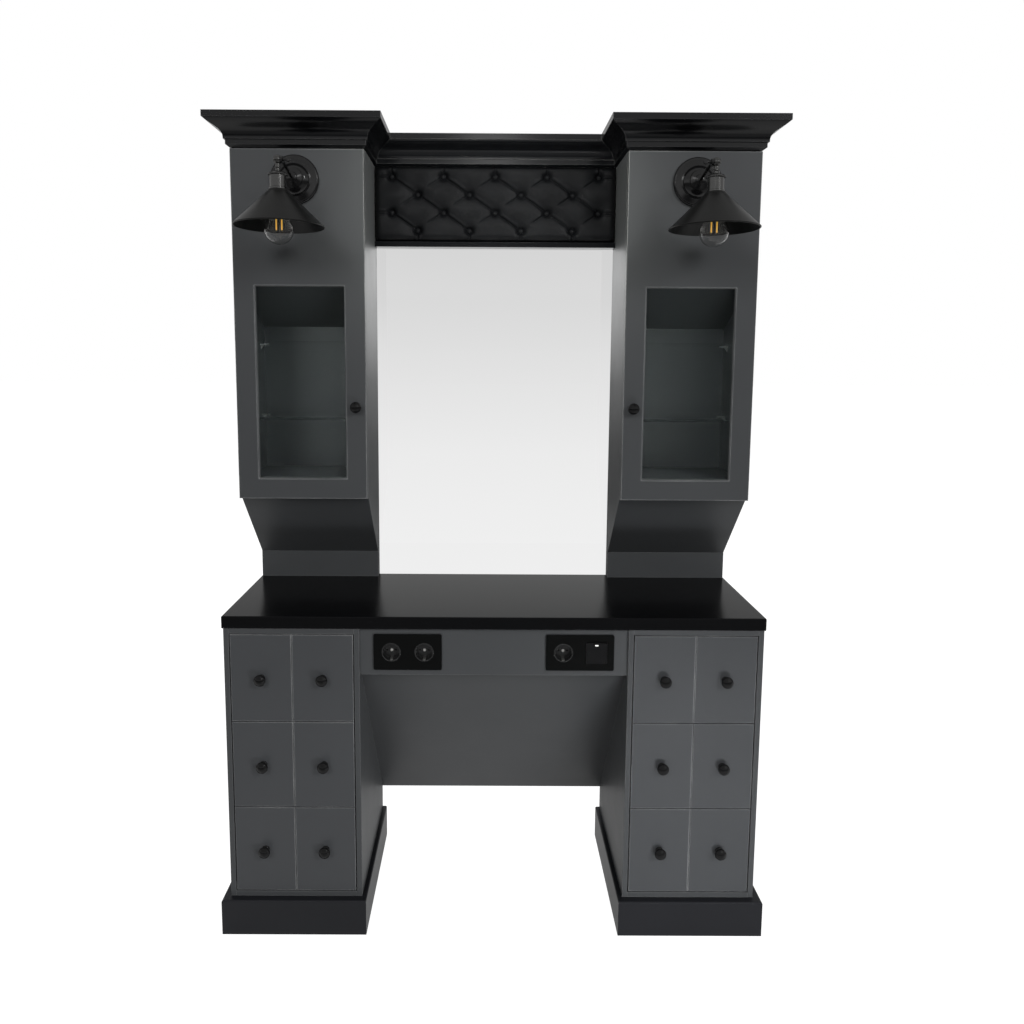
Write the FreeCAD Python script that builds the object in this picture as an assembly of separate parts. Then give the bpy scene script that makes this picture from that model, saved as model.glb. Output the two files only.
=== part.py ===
import FreeCAD, Part
import math
import os
from FreeCAD import Vector

# A styling station: two drawer pedestals under one countertop, a display column
# on each side, a tall mirror between them, a buttoned pad over the mirror and a
# moulded crown. X runs across the station, Y runs to its back, Z runs up, and
# every length is in millimetres. The left side is at minus X.

# Countertop and the two pedestals under it
countertop_width = 1200.0
countertop_top = 743.0
countertop_thickness = 28.0
countertop_overhang = 2.5
countertop_edge_radius = 2.0
station_depth = 342.5
pedestal_width = 300.0
pedestal_panel = 12.0
pedestal_back_thickness = 8.0
panel_edge_radius = 1.0

# Plinth frames
plinth_height = 82.0
plinth_board = 24.0
plinth_projection = 17.0
plinth_inner_projection = 11.0
plinth_edge_radius = 4.0

# Drawers
drawers_per_pedestal = 3
drawer_gap = 2.0
drawer_front_thickness = 16.0
drawer_groove_width = 2.5
drawer_groove_depth = 2.0
drawer_back_room = 26.0
drawer_box_height = 140.0
drawer_box_rise = 22.0
drawer_box_wall = 12.0
drawer_bottom_thickness = 6.0
drawer_bottom_rise = 5.0
drawer_side_gap = 6.5
runner_width = 12.0
runner_height = 12.0
runner_rise = 70.0
runner_setback = 6.0
runner_back_room = 14.0
runner_side_clearance = 0.5
runner_top_clearance = 0.3
runner_under_clearance = 0.7

# Round knobs on drawers and doors
knob_foot_radius = 8.5
knob_foot_height = 2.0
knob_neck_radius = 6.0
knob_neck_length = 5.0
knob_flare_height = 3.0
knob_head_radius = 13.0
knob_head_ease = 2.5
knob_rim_height = 8.0
knob_crown_height = 4.5
knob_screw_radius = 2.0
knob_screw_fit = 0.05
knob_screw_bore_depth = 10.0
knob_screw_head_radius = 4.2
knob_screw_head_height = 2.4
knob_hole_clearance = 0.25

# Apron, knee-space panel and the socket plates
apron_height = 107.0
apron_thickness = 16.0
apron_setback = 6.0
modesty_thickness = 12.0
modesty_foot_height = 141.0
plate_width = 151.0
plate_height = 81.0
plate_thickness = 4.0
plate_corner_radius = 3.0
plate_side_margin = 31.0
plate_drop = 54.0
plate_cutout_margin = 8.0
socket_pitch = 73.0
socket_radius = 21.0
socket_recess_radius = 19.0
socket_recess_depth = 15.0
socket_length = 22.0
socket_fit = 0.1
pin_hole_radius = 2.6
pin_hole_pitch = 19.0
pin_hole_depth = 5.0
guide_rib_width = 5.0
guide_rib_height = 1.8
guide_rib_setback = 2.0
earth_clip_width = 6.0
earth_clip_thickness = 1.6
earth_clip_setback = 4.0
contact_screw_head_radius = 3.0
contact_screw_head_height = 1.2
contact_screw_slot = 0.8
contact_screw_radius = 1.5
contact_screw_length = 5.0
contact_screw_fit = 0.05
rocker_width = 46.0
rocker_height = 47.0
rocker_thickness = 9.0
rocker_proud = 2.0
rocker_clearance = 0.7
rocker_throw = 4.0
rocker_shaft_radius = 2.0
rocker_shaft_fit = 0.05
rocker_frame_wall = 4.0
rocker_frame_depth = 16.0
rocker_frame_floor = 3.0

# Upper columns with their glazed doors
column_depth = 205.5
door_thickness = 16.0
door_back_gap = 2.0
column_panel = 12.0
column_base_depth = 43.0
column_base_height = 67.0
column_foot_height = 169.0
door_sill_height = 49.0
window_width = 202.0
window_height = 442.0
window_edge_bevel = 2.5
door_head_height = 304.0
door_top_gap = 2.0
back_board_thickness = 16.0
soffit_front_rise = 10.0
soffit_fall = 95.0
soffit_thickness = 9.0
glass_thickness = 4.0
glass_rebate_width = 8.0
glass_rebate_depth = 6.0
glass_edge_gap = 1.0
door_knob_inset = 22.5
door_knob_rise = 167.0

# Glass shelves and their supports
shelf_thickness = 6.0
shelf_depth = 150.0
shelf_back_gap = 6.0
shelf_end_gap = 1.0
lower_shelf_rise = 133.5
upper_shelf_rise = 312.5
support_reach = 18.0
support_width = 14.0
support_plate = 3.0
support_rib_reach = 7.0
support_rib_height = 10.0
support_inset = 25.0

# Door hinges
hinge_end_margin = 82.0
hinge_height = 60.0
hinge_leaf_width = 12.0
hinge_leaf_thickness = 0.9
hinge_knuckle_radius = 2.5
hinge_pin_radius = 1.2
hinge_pin_fit = 0.05
hinge_side_gap = 0.5
hinge_knuckle_gap = 0.3

# Crown moulding section
crown_height = 67.0
crown_projection = 45.0
crown_fillet_height = 13.5
crown_fillet_step = 2.0
crown_band_projection = 7.0
crown_band_bottom = 5.0
crown_band_top = 16.0
crown_cove_foot = 10.5
crown_cove_rise = 3.0
crown_backing = 16.0

# Mirror, trim bar and buttoned pad
mirror_thickness = 5.0
mirror_top_gap = 0.5
mirror_side_gap = 0.5
trim_height = 13.0
trim_depth = 33.0
trim_edge_radius = 1.5
pad_space_height = 181.0
pad_depth = 42.0
pad_edge_radius = 9.0
pad_clearance = 0.3
button_columns = 5
button_rows = 4
button_side_margin = 42.2
button_end_margin = 25.4
button_radius = 7.0
button_height = 5.0
dimple_radius = 19.0
dimple_floor_radius = 8.0
dimple_depth = 15.0

# Lamps on the doors
lamp_reach = 137.5
lamp_outward_offset = 5.0
lamp_pivot_rise = 10.0
backplate_drop = 70.5
backplate_radius = 54.5
backplate_rim = 4.0
backplate_shoulder = 9.0
backplate_dome_radius = 35.0
backplate_dome_rise = 17.0
backplate_boss_radius = 11.0
backplate_boss_rise = 31.0
arm_radius = 3.2
knuckle_radius = 9.5
knuckle_flat = 5.5
lug_thickness = 5.0
lug_radius = 7.0
lug_gap = 0.3
pivot_pin_radius = 2.0
pivot_pin_fit = 0.05
pivot_pin_depth = 8.0
thumbscrew_reach = 9.0
thumbscrew_shoulder_radius = 3.2
thumbscrew_shoulder_length = 2.0
thumbscrew_seat_gap = 0.3
thumbscrew_paddle_radius = 4.5
thumbscrew_paddle_thickness = 4.4
thumbscrew_paddle_ease = 1.2
holder_cap_drop = 32.0
holder_cap_radius = 20.5
holder_collar_radius = 17.0
holder_ring_radius = 18.2
holder_ring_height = 3.0
holder_sleeve_length = 30.0
holder_socket_radius = 13.5
holder_socket_depth = 50.0
holder_neck_radius = 4.6
holder_bead_radius = 5.9
holder_bead_width = 3.4
shade_drop = 135.5
shade_radius = 93.0
shade_shoulder_radius = 22.5
shade_shoulder_height = 5.0
shade_height = 75.5
shade_wall = 1.2
shade_bead = 1.5
bulb_radius = 30.0
bulb_length = 82.0
bulb_wall = 1.0
bulb_base_radius = 13.2
bulb_base_length = 25.0

# Fixings and cable ways
fixing_hole_radius = 4.25
fixing_hole_inset = 15.5
fixing_hole_rise = 52.0
fixing_hole_spacing = 250.0
cable_hole_radius = 17.5
cable_hole_drop = 60.0
lamp_wire_hole_radius = 4.0

# Derived places
front = -(2 * station_depth - column_depth - lamp_reach - shade_radius) / 2
rear = front + station_depth
pedestal_outer = countertop_width / 2 - countertop_overhang
pedestal_inner = pedestal_outer - pedestal_width
pedestal_middle = (pedestal_outer + pedestal_inner) / 2
pedestal_front = front + countertop_overhang
pedestal_top = countertop_top - countertop_thickness
bay_outer = pedestal_outer - pedestal_panel
bay_inner = pedestal_inner + pedestal_panel
bay_low = plinth_height + pedestal_panel
bay_high = pedestal_top - pedestal_panel
pedestal_back_face = rear - pedestal_back_thickness
drawer_front_width = bay_outer - bay_inner - 2 * drawer_gap
drawer_front_height = ((bay_high - bay_low - (drawers_per_pedestal + 1) * drawer_gap)
                       / drawers_per_pedestal)
drawer_pitch = drawer_front_height + drawer_gap
drawer_back = pedestal_front + drawer_front_thickness
drawer_box_length = pedestal_back_face - drawer_back - drawer_back_room
runner_length = pedestal_back_face - drawer_back - runner_setback - runner_back_room
knob_neck_top = knob_foot_height + knob_neck_length
knob_rim_low = knob_neck_top + knob_flare_height
knob_rim_high = knob_rim_low + knob_rim_height
knob_height = knob_rim_high + knob_crown_height
apron_front = pedestal_front + apron_setback
apron_back = apron_front + apron_thickness
apron_bottom = pedestal_top - apron_height
plate_middle = pedestal_top - plate_drop
plate_offset = pedestal_inner - plate_side_margin - plate_width / 2
plate_front = apron_front - plate_thickness
socket_floor = plate_front + socket_recess_depth
door_front = rear - column_depth
door_back = door_front + door_thickness
column_front = door_back + door_back_gap
board_face = rear - back_board_thickness
base_front = rear - column_base_depth
base_top = countertop_top + column_base_height
door_bottom = base_top + column_foot_height
window_bottom = door_bottom + door_sill_height
window_top = window_bottom + window_height
door_top = window_top + door_head_height
column_top = door_top + door_top_gap
cabinet_floor = window_bottom
soffit_front = window_top + soffit_front_rise
soffit_back = soffit_front - soffit_fall
shelf_heights = (cabinet_floor + lower_shelf_rise, cabinet_floor + upper_shelf_rise)
cabinet_outer = pedestal_outer - column_panel
cabinet_inner = pedestal_inner + column_panel
door_knob_height = window_bottom + door_knob_rise
glass_front = door_back - glass_rebate_depth
mirror_face = board_face - mirror_thickness
crown_bottom = column_top
trim_top = crown_bottom - pad_space_height
trim_bottom = trim_top - trim_height
mirror_top = trim_bottom - mirror_top_gap
pad_low = trim_top + pad_clearance
pad_high = crown_bottom - pad_clearance
pad_back = board_face - pad_clearance
pad_front = pad_back - pad_depth
button_pitch_x = (2 * (pedestal_inner - pad_clearance - button_side_margin)
                  / (button_columns - 1))
button_pitch_z = (pad_high - pad_low - 2 * button_end_margin) / (button_rows - 1)
backplate_height = column_top - backplate_drop
lamp_pivot_height = backplate_height + lamp_pivot_rise
lamp_axis = door_front - lamp_reach
lamp_middle = pedestal_middle + lamp_outward_offset
shade_rim = lamp_pivot_height - shade_drop
shade_top = shade_rim + shade_height
holder_cap_bottom = lamp_pivot_height - holder_cap_drop
sleeve_bottom = shade_top - holder_sleeve_length
bulb_top = sleeve_bottom
bulb_bottom = bulb_top - bulb_length
hinge_axis_x = pedestal_outer + hinge_side_gap + hinge_knuckle_radius
hinge_axis_y = (door_back + column_front) / 2
hinge_heights = (door_bottom + hinge_end_margin, (door_bottom + door_top) / 2,
                 door_top - hinge_end_margin)
fixing_hole_offset = pedestal_inner + column_panel + fixing_hole_inset
fixing_hole_low = cabinet_floor + fixing_hole_rise
fixing_hole_high = fixing_hole_low + fixing_hole_spacing


def block(x0, x1, y0, y1, z0, z1):
    """A box between two corners."""
    return Part.makeBox(x1 - x0, y1 - y0, z1 - z0, Vector(x0, y0, z0))


def profile(points, x0, x1):
    """A bar along X with the (y, z) points as its section."""
    corners = [Vector(x0, y, z) for y, z in points]
    face = Part.Face(Part.makePolygon(corners + corners[:1]))
    return face.extrude(Vector(x1 - x0, 0, 0))


def outline(start, moves):
    """Edges in the XZ plane: a move is an end point, or a middle and an end point."""
    edges = []
    here = Vector(start[0], 0, start[1])
    for move in moves:
        points = [Vector(r, 0, h) for r, h in (move if isinstance(move[0], tuple) else (move,))]
        if len(points) == 1:
            edges.append(Part.LineSegment(here, points[0]).toShape())
        else:
            edges.append(Part.Arc(here, points[0], points[1]).toShape())
        here = points[-1]
    return edges


def turned(start, moves):
    """A solid of revolution about Z from a closed (radius, height) outline."""
    face = Part.Face(Part.Wire(outline(start, moves)))
    return face.revolve(Vector(0, 0, 0), Vector(0, 0, 1), 360)


def cap(radius, base, tip):
    """The arc of a spherical cap, from (radius, base) to the axis at tip."""
    rise = tip - base
    sphere = (radius ** 2 + rise ** 2) / (2 * rise)
    half = math.atan2(abs(rise), radius)
    middle = (abs(sphere) * math.sin(half), tip - sphere + sphere * math.cos(half))
    return middle, (0, tip)


def facing_front(shape):
    """Turns a part built along +Z so that it points to the front, along -Y."""
    turned_shape = shape.copy()
    turned_shape.rotate(Vector(0, 0, 0), Vector(1, 0, 0), 90)
    return turned_shape


def placed(shape, x, y, z):
    moved = shape.copy()
    moved.translate(Vector(x, y, z))
    return moved


def mirrored(shape):
    return shape.mirror(Vector(0, 0, 0), Vector(1, 0, 0))


def both_sides(shapes):
    """The shapes of the right side and their mirror images on the left."""
    return [mirrored(shape) for shape in shapes] + list(shapes)


def edges_along(shape, axis, test):
    """Straight edges parallel to an axis whose middle passes the test."""
    found = []
    for edge in shape.Edges:
        if len(edge.Vertexes) != 2:
            continue
        run = edge.Vertexes[1].Point - edge.Vertexes[0].Point
        if abs(run.normalize().dot(axis)) > 0.999 and test(edge.CenterOfMass):
            found.append(edge)
    return found


def save(node, *shapes):
    shape = shapes[0] if len(shapes) == 1 else Part.makeCompound(list(shapes))
    shape.exportStep("parts/" + node + ".step")


os.makedirs("parts", exist_ok=True)
along_x = Vector(1, 0, 0)
along_y = Vector(0, 1, 0)
along_z = Vector(0, 0, 1)

# Plinth frames: four mitred boards round each pedestal's foot, with a rounded top edge
plinth_x0 = pedestal_inner - plinth_inner_projection
plinth_x1 = pedestal_outer + plinth_projection
plinth_front = pedestal_front - plinth_projection
plinth_solid = block(plinth_x0, plinth_x1, plinth_front, rear, 0, plinth_height)
plinth_edges = edges_along(
    plinth_solid, along_x, lambda c: c.z > plinth_height / 2 and c.y < plinth_front + 0.01)
plinth_edges += edges_along(plinth_solid, along_y, lambda c: c.z > plinth_height / 2)
plinth_solid = plinth_solid.makeFillet(plinth_edge_radius, plinth_edges)
outer_corners = [(plinth_x0, plinth_front), (plinth_x1, plinth_front),
                 (plinth_x1, rear), (plinth_x0, rear)]
inner_corners = [(plinth_x0 + plinth_board, plinth_front + plinth_board),
                 (plinth_x1 - plinth_board, plinth_front + plinth_board),
                 (plinth_x1 - plinth_board, rear - plinth_board),
                 (plinth_x0 + plinth_board, rear - plinth_board)]
plinth_boards = []
for side in range(4):
    other = (side + 1) % 4
    plan = [Vector(x, y, -1) for x, y in (outer_corners[side], outer_corners[other],
                                          inner_corners[other], inner_corners[side])]
    wedge = Part.Face(Part.makePolygon(plan + plan[:1])).extrude(
        Vector(0, 0, plinth_height + 2))
    plinth_boards.append(plinth_solid.common(wedge).Solids[0])
save("plinth_frames", *both_sides(plinth_boards))


# Pedestal carcasses
def eased_front(shape, radius):
    """Rounds the front edges that run up a panel."""
    low = shape.BoundBox.YMin
    return shape.makeFillet(radius, edges_along(shape, along_z, lambda c: c.y < low + 0.01))


pedestal_side_outer = eased_front(
    block(bay_outer, pedestal_outer, pedestal_front, rear, plinth_height, pedestal_top),
    panel_edge_radius)
pedestal_side_inner = eased_front(
    block(pedestal_inner, bay_inner, pedestal_front, rear, plinth_height, pedestal_top),
    panel_edge_radius)
save("pedestal_side_panels", *both_sides([pedestal_side_outer, pedestal_side_inner]))
pedestal_floor = block(bay_inner, bay_outer, pedestal_front, pedestal_back_face,
                       plinth_height, bay_low)
pedestal_ceiling = block(bay_inner, bay_outer, pedestal_front, pedestal_back_face,
                         bay_high, pedestal_top)
save("pedestal_decks", *both_sides([pedestal_floor, pedestal_ceiling]))
cable_hole_height = pedestal_top - cable_hole_drop
pedestal_back = block(bay_inner, bay_outer, pedestal_back_face, rear,
                      plinth_height, pedestal_top)
pedestal_back = pedestal_back.cut(Part.makeCylinder(
    cable_hole_radius, pedestal_back_thickness + 2,
    Vector(pedestal_middle, pedestal_back_face - 1, cable_hole_height), along_y))
save("pedestal_backs", *both_sides([pedestal_back]))

# Countertop
countertop = block(-countertop_width / 2, countertop_width / 2, front, rear,
                   pedestal_top, countertop_top)
countertop = countertop.makeFillet(
    countertop_edge_radius,
    edges_along(countertop, along_x, lambda c: c.y < front + 1)
    + edges_along(countertop, along_y, lambda c: True))
save("countertop", countertop)


# Drawers: a grooved front, a four-board box on side runners and two knobs
def knob(board_thickness):
    """A knob with the screw that holds it through a board behind it."""
    body = turned((0, 0), [
        (knob_foot_radius, 0),
        (knob_foot_radius, knob_foot_height),
        ((knob_neck_radius + (knob_foot_radius - knob_neck_radius) * 0.25,
          knob_foot_height + knob_neck_length * 0.4), (knob_neck_radius, knob_neck_top)),
        ((knob_neck_radius + (knob_head_radius - knob_neck_radius) * 0.2,
          knob_neck_top + knob_flare_height * 0.7),
         (knob_head_radius - knob_head_ease, knob_rim_low)),
        ((knob_head_radius, (knob_rim_low + knob_rim_high) / 2),
         (knob_head_radius - knob_head_ease, knob_rim_high)),
        cap(knob_head_radius - knob_head_ease, knob_rim_high, knob_height),
        (0, 0)])
    body = body.cut(Part.makeCylinder(knob_screw_radius + knob_screw_fit,
                                      knob_screw_bore_depth))
    head_top = -board_thickness
    screw = turned((0, head_top - knob_screw_head_height), [
        (knob_screw_head_radius * 0.8, head_top - knob_screw_head_height),
        (knob_screw_head_radius, head_top - knob_screw_head_height * 0.6),
        (knob_screw_head_radius, head_top), (knob_screw_radius, head_top),
        (knob_screw_radius, knob_screw_bore_depth - 1), (0, knob_screw_bore_depth - 1),
        (0, head_top - knob_screw_head_height)])
    return [facing_front(body), facing_front(screw)]


def screw_hole(x, y, z, length):
    return Part.makeCylinder(knob_screw_radius + knob_hole_clearance, length + 2,
                             Vector(x, y - 1, z), along_y)


drawer_front_x0 = bay_inner + drawer_gap
drawer_front_x1 = bay_outer - drawer_gap
knob_offset = drawer_front_width / 4
box_x0 = bay_inner + drawer_side_gap
box_x1 = bay_outer - drawer_side_gap
runner_reach = runner_width - drawer_side_gap + runner_side_clearance
runners = []
for level in range(drawers_per_pedestal):
    drawer_low = bay_low + drawer_gap + level * drawer_pitch
    drawer_high = drawer_low + drawer_front_height
    knob_z = (drawer_low + drawer_high) / 2
    front_board = block(drawer_front_x0, drawer_front_x1, pedestal_front, drawer_back,
                        drawer_low, drawer_high)
    front_board = front_board.makeFillet(
        panel_edge_radius,
        edges_along(front_board, along_x, lambda c: c.y < pedestal_front + 0.01)
        + edges_along(front_board, along_z, lambda c: c.y < pedestal_front + 0.01))
    front_board = front_board.cut(block(
        pedestal_middle - drawer_groove_width / 2, pedestal_middle + drawer_groove_width / 2,
        pedestal_front - 1, pedestal_front + drawer_groove_depth,
        drawer_low - 1, drawer_high + 1))
    knobs = []
    for x in (pedestal_middle - knob_offset, pedestal_middle + knob_offset):
        front_board = front_board.cut(
            screw_hole(x, pedestal_front, knob_z, drawer_front_thickness))
        knobs += [placed(piece, x, pedestal_front, knob_z)
                  for piece in knob(drawer_front_thickness)]
    box_low = drawer_low + drawer_box_rise
    box_high = box_low + drawer_box_height
    box_back = drawer_back + drawer_box_length
    runner_low = drawer_low + runner_rise
    runner_high = runner_low + runner_height
    groove_low = runner_low - runner_under_clearance
    groove_high = runner_high + runner_top_clearance
    side_inner = block(box_x0, box_x0 + drawer_box_wall, drawer_back, box_back,
                       box_low, box_high)
    side_inner = side_inner.cut(block(
        box_x0 - 1, box_x0 + runner_reach,
        drawer_back + runner_setback - runner_side_clearance, box_back + 1,
        groove_low, groove_high))
    side_outer = block(box_x1 - drawer_box_wall, box_x1, drawer_back, box_back,
                       box_low, box_high)
    side_outer = side_outer.cut(block(
        box_x1 - runner_reach, box_x1 + 1,
        drawer_back + runner_setback - runner_side_clearance, box_back + 1,
        groove_low, groove_high))
    box_end = block(box_x0 + drawer_box_wall, box_x1 - drawer_box_wall,
                    box_back - drawer_box_wall, box_back, box_low, box_high)
    box_bottom = block(box_x0 + drawer_box_wall, box_x1 - drawer_box_wall,
                       drawer_back, box_back - drawer_box_wall,
                       box_low + drawer_bottom_rise,
                       box_low + drawer_bottom_rise + drawer_bottom_thickness)
    box_boards = [side_inner, side_outer, box_end, box_bottom]
    runners.append(block(bay_inner, bay_inner + runner_width, drawer_back + runner_setback,
                         drawer_back + runner_setback + runner_length,
                         runner_low, runner_high))
    runners.append(block(bay_outer - runner_width, bay_outer, drawer_back + runner_setback,
                         drawer_back + runner_setback + runner_length,
                         runner_low, runner_high))
    number = drawers_per_pedestal - level
    save("right_drawer_%d_front" % number, front_board)
    save("right_drawer_%d_box" % number, *box_boards)
    save("right_drawer_%d_knobs" % number, *knobs)
    save("left_drawer_%d_front" % number, mirrored(front_board))
    save("left_drawer_%d_box" % number, *[mirrored(board) for board in box_boards])
    save("left_drawer_%d_knobs" % number, *[mirrored(each) for each in knobs])
save("drawer_runners", *both_sides(runners))

# Apron, socket plates, sockets and the rocker switch
socket_x = (plate_offset - socket_pitch / 2, plate_offset + socket_pitch / 2)
rocker_x = plate_offset + socket_pitch / 2
cutout_x = plate_width / 2 - plate_cutout_margin
cutout_z = plate_height / 2 - plate_cutout_margin
apron = block(-pedestal_inner, pedestal_inner, apron_front, apron_back,
              apron_bottom, pedestal_top)
for x in (-plate_offset, plate_offset):
    apron = apron.cut(block(x - cutout_x, x + cutout_x, apron_front - 1, apron_back + 1,
                            plate_middle - cutout_z, plate_middle + cutout_z))
save("apron", apron)


def plate(x):
    shape = block(x - plate_width / 2, x + plate_width / 2, plate_front, apron_front,
                  plate_middle - plate_height / 2, plate_middle + plate_height / 2)
    return shape.makeFillet(plate_corner_radius, edges_along(shape, along_y, lambda c: True))


def socket_bore(x):
    return Part.makeCylinder(socket_radius + socket_fit, plate_thickness + 2,
                             Vector(x, plate_front - 1, plate_middle), along_y)


def socket_insert(x):
    body = Part.makeCylinder(socket_radius, socket_length,
                             Vector(x, plate_front, plate_middle), along_y)
    recess = Part.makeCylinder(socket_recess_radius, socket_recess_depth + 1,
                               Vector(x, plate_front - 1, plate_middle), along_y)
    body = body.cut(recess)
    for turn in (-1, 1):
        body = body.cut(Part.makeCylinder(
            pin_hole_radius, pin_hole_depth + 1,
            Vector(x + turn * pin_hole_pitch / 2, socket_floor - 1, plate_middle), along_y))
    body = body.cut(Part.makeCylinder(
        contact_screw_radius + contact_screw_fit, contact_screw_length + 2,
        Vector(x, socket_floor - 1, plate_middle), along_y))
    ribs = block(x - socket_recess_radius - 1, x + socket_recess_radius + 1,
                 plate_front + guide_rib_setback, socket_floor,
                 plate_middle - guide_rib_width / 2, plate_middle + guide_rib_width / 2)
    ribs = ribs.cut(block(
        x - socket_recess_radius + guide_rib_height, x + socket_recess_radius - guide_rib_height,
        plate_front, socket_floor + 1, plate_middle - guide_rib_width,
        plate_middle + guide_rib_width))
    return body.fuse(ribs.common(Part.makeCylinder(
        (socket_radius + socket_recess_radius) / 2, socket_length,
        Vector(x, plate_front, plate_middle), along_y)))


def socket_contacts(x):
    """The slotted screw on a socket's floor and the earth clips over and under it."""
    screw = Part.makeCylinder(
        contact_screw_head_radius, contact_screw_head_height,
        Vector(x, socket_floor - contact_screw_head_height, plate_middle), along_y)
    screw = screw.cut(block(
        x - contact_screw_head_radius, x + contact_screw_head_radius,
        socket_floor - contact_screw_head_height - 1,
        socket_floor - contact_screw_head_height / 2,
        plate_middle - contact_screw_slot / 2, plate_middle + contact_screw_slot / 2))
    screw = screw.fuse(Part.makeCylinder(
        contact_screw_radius, contact_screw_length, Vector(x, socket_floor, plate_middle),
        along_y))
    clips = block(x - earth_clip_width / 2, x + earth_clip_width / 2,
                  plate_front + earth_clip_setback, socket_floor,
                  plate_middle - socket_recess_radius, plate_middle + socket_recess_radius)
    clips = clips.common(Part.makeCylinder(
        socket_recess_radius, socket_length, Vector(x, plate_front, plate_middle), along_y))
    clips = clips.cut(block(
        x - earth_clip_width, x + earth_clip_width, plate_front, socket_floor + 1,
        plate_middle - socket_recess_radius + earth_clip_thickness,
        plate_middle + socket_recess_radius - earth_clip_thickness))
    return [screw] + clips.Solids


left_plate = plate(-plate_offset)
for x in socket_x:
    left_plate = left_plate.cut(socket_bore(-x))
rocker_room_x = rocker_width / 2 + rocker_clearance
rocker_room_z = rocker_height / 2 + rocker_clearance
right_plate = plate(plate_offset).cut(socket_bore(socket_x[0]))
right_plate = right_plate.cut(block(
    rocker_x - rocker_room_x, rocker_x + rocker_room_x, plate_front - 1, apron_front + 1,
    plate_middle - rocker_room_z, plate_middle + rocker_room_z))
rocker_pivot_y = apron_front + rocker_frame_wall
rocker_frame_x = rocker_room_x + rocker_frame_wall
rocker_frame_z = rocker_room_z + rocker_frame_wall
rocker_frame = block(rocker_x - rocker_frame_x, rocker_x + rocker_frame_x,
                     apron_front, apron_front + rocker_frame_depth,
                     plate_middle - rocker_frame_z, plate_middle + rocker_frame_z)
rocker_frame = rocker_frame.cut(block(
    rocker_x - rocker_room_x, rocker_x + rocker_room_x,
    apron_front - 1, apron_front + rocker_frame_depth - rocker_frame_floor,
    plate_middle - rocker_room_z, plate_middle + rocker_room_z))
rocker_frame = rocker_frame.cut(Part.makeCylinder(
    rocker_shaft_radius + rocker_shaft_fit, 2 * rocker_frame_x + 2,
    Vector(rocker_x - rocker_frame_x - 1, rocker_pivot_y, plate_middle), along_x))
save("socket_plates", left_plate, right_plate.fuse(rocker_frame).removeSplitter())
socket_places = (-socket_x[1], -socket_x[0], socket_x[0])
save("socket_inserts", *[socket_insert(x) for x in socket_places])
save("socket_contacts", *[piece for x in socket_places for piece in socket_contacts(x)])
rocker = block(rocker_x - rocker_width / 2, rocker_x + rocker_width / 2,
               plate_front - rocker_proud, plate_front - rocker_proud + rocker_thickness,
               plate_middle - rocker_height / 2, plate_middle + rocker_height / 2)
rocker = rocker.fuse(Part.makeCylinder(
    rocker_shaft_radius, 2 * rocker_frame_x - rocker_frame_wall,
    Vector(rocker_x - rocker_frame_x + rocker_frame_wall / 2, rocker_pivot_y, plate_middle),
    along_x))
rocker.rotate(Vector(rocker_x, rocker_pivot_y, plate_middle), along_x, rocker_throw / 2)
save("rocker_switch", rocker)

# Knee-space panel, from the apron's foot down to the pedestals' backs
modesty_slope = (apron_bottom - modesty_foot_height) / (rear - apron_back)
modesty_rise = modesty_thickness * math.sqrt(1 + modesty_slope ** 2)
save("modesty_panel", profile([
    (apron_back, apron_bottom), (rear, modesty_foot_height),
    (rear, modesty_foot_height + modesty_rise),
    (apron_back, apron_bottom + modesty_rise)], -pedestal_inner, pedestal_inner))

# Columns: the side panels share one outline with a sloping foot
foot_slope = (door_bottom - base_top) / (base_front - door_back)
foot_rise = column_panel * math.sqrt(1 + foot_slope ** 2)


def foot_outer(y):
    """Height of the sloping foot's outer face."""
    return door_bottom - (y - door_back) * foot_slope


base_back = base_front + column_panel
side_outline = [
    (column_front, column_top), (column_front, foot_outer(column_front) + foot_rise),
    (base_back, foot_outer(base_back) + foot_rise), (base_back, countertop_top),
    (board_face, countertop_top), (board_face, column_top)]
column_side_outer = profile(side_outline, cabinet_outer, pedestal_outer)
column_side_inner = profile(side_outline, pedestal_inner, cabinet_inner)
save("column_side_panels", *both_sides([column_side_outer, column_side_inner]))
slope_board = profile([
    (column_front, foot_outer(column_front)), (base_front, base_top),
    (base_back, foot_outer(base_back) + foot_rise),
    (column_front, foot_outer(column_front) + foot_rise)], pedestal_inner, pedestal_outer)
slope_run = Vector(0, base_front - column_front, base_top - foot_outer(column_front))
slope_board = slope_board.makeFillet(panel_edge_radius, edges_along(
    slope_board, slope_run.normalize(),
    lambda c: c.z < foot_outer(c.y) + foot_rise / 2))
base_board = profile([
    (base_front, countertop_top), (base_back, countertop_top),
    (base_back, foot_outer(base_back) + foot_rise), (base_front, base_top)],
    pedestal_inner, pedestal_outer)
save("column_foot_boards", *both_sides([slope_board, base_board]))
column_floor = block(cabinet_inner, cabinet_outer, column_front, board_face,
                     cabinet_floor - column_panel, cabinet_floor)
column_ceiling = block(cabinet_inner, cabinet_outer, column_front, board_face,
                       column_top - column_panel, column_top)
soffit = profile([
    (column_front, soffit_front), (board_face, soffit_back),
    (board_face, soffit_back + soffit_thickness),
    (column_front, soffit_front + soffit_thickness)], cabinet_inner, cabinet_outer)
save("column_cross_boards", *both_sides([column_floor, column_ceiling, soffit]))
back_board = block(-pedestal_outer, pedestal_outer, board_face, rear,
                   countertop_top, column_top)
for x in (-fixing_hole_offset, fixing_hole_offset):
    for z in (fixing_hole_low, fixing_hole_high):
        back_board = back_board.cut(Part.makeCylinder(
            fixing_hole_radius, back_board_thickness + 2, Vector(x, board_face - 1, z),
            along_y))
save("upper_back_board", back_board)


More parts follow.
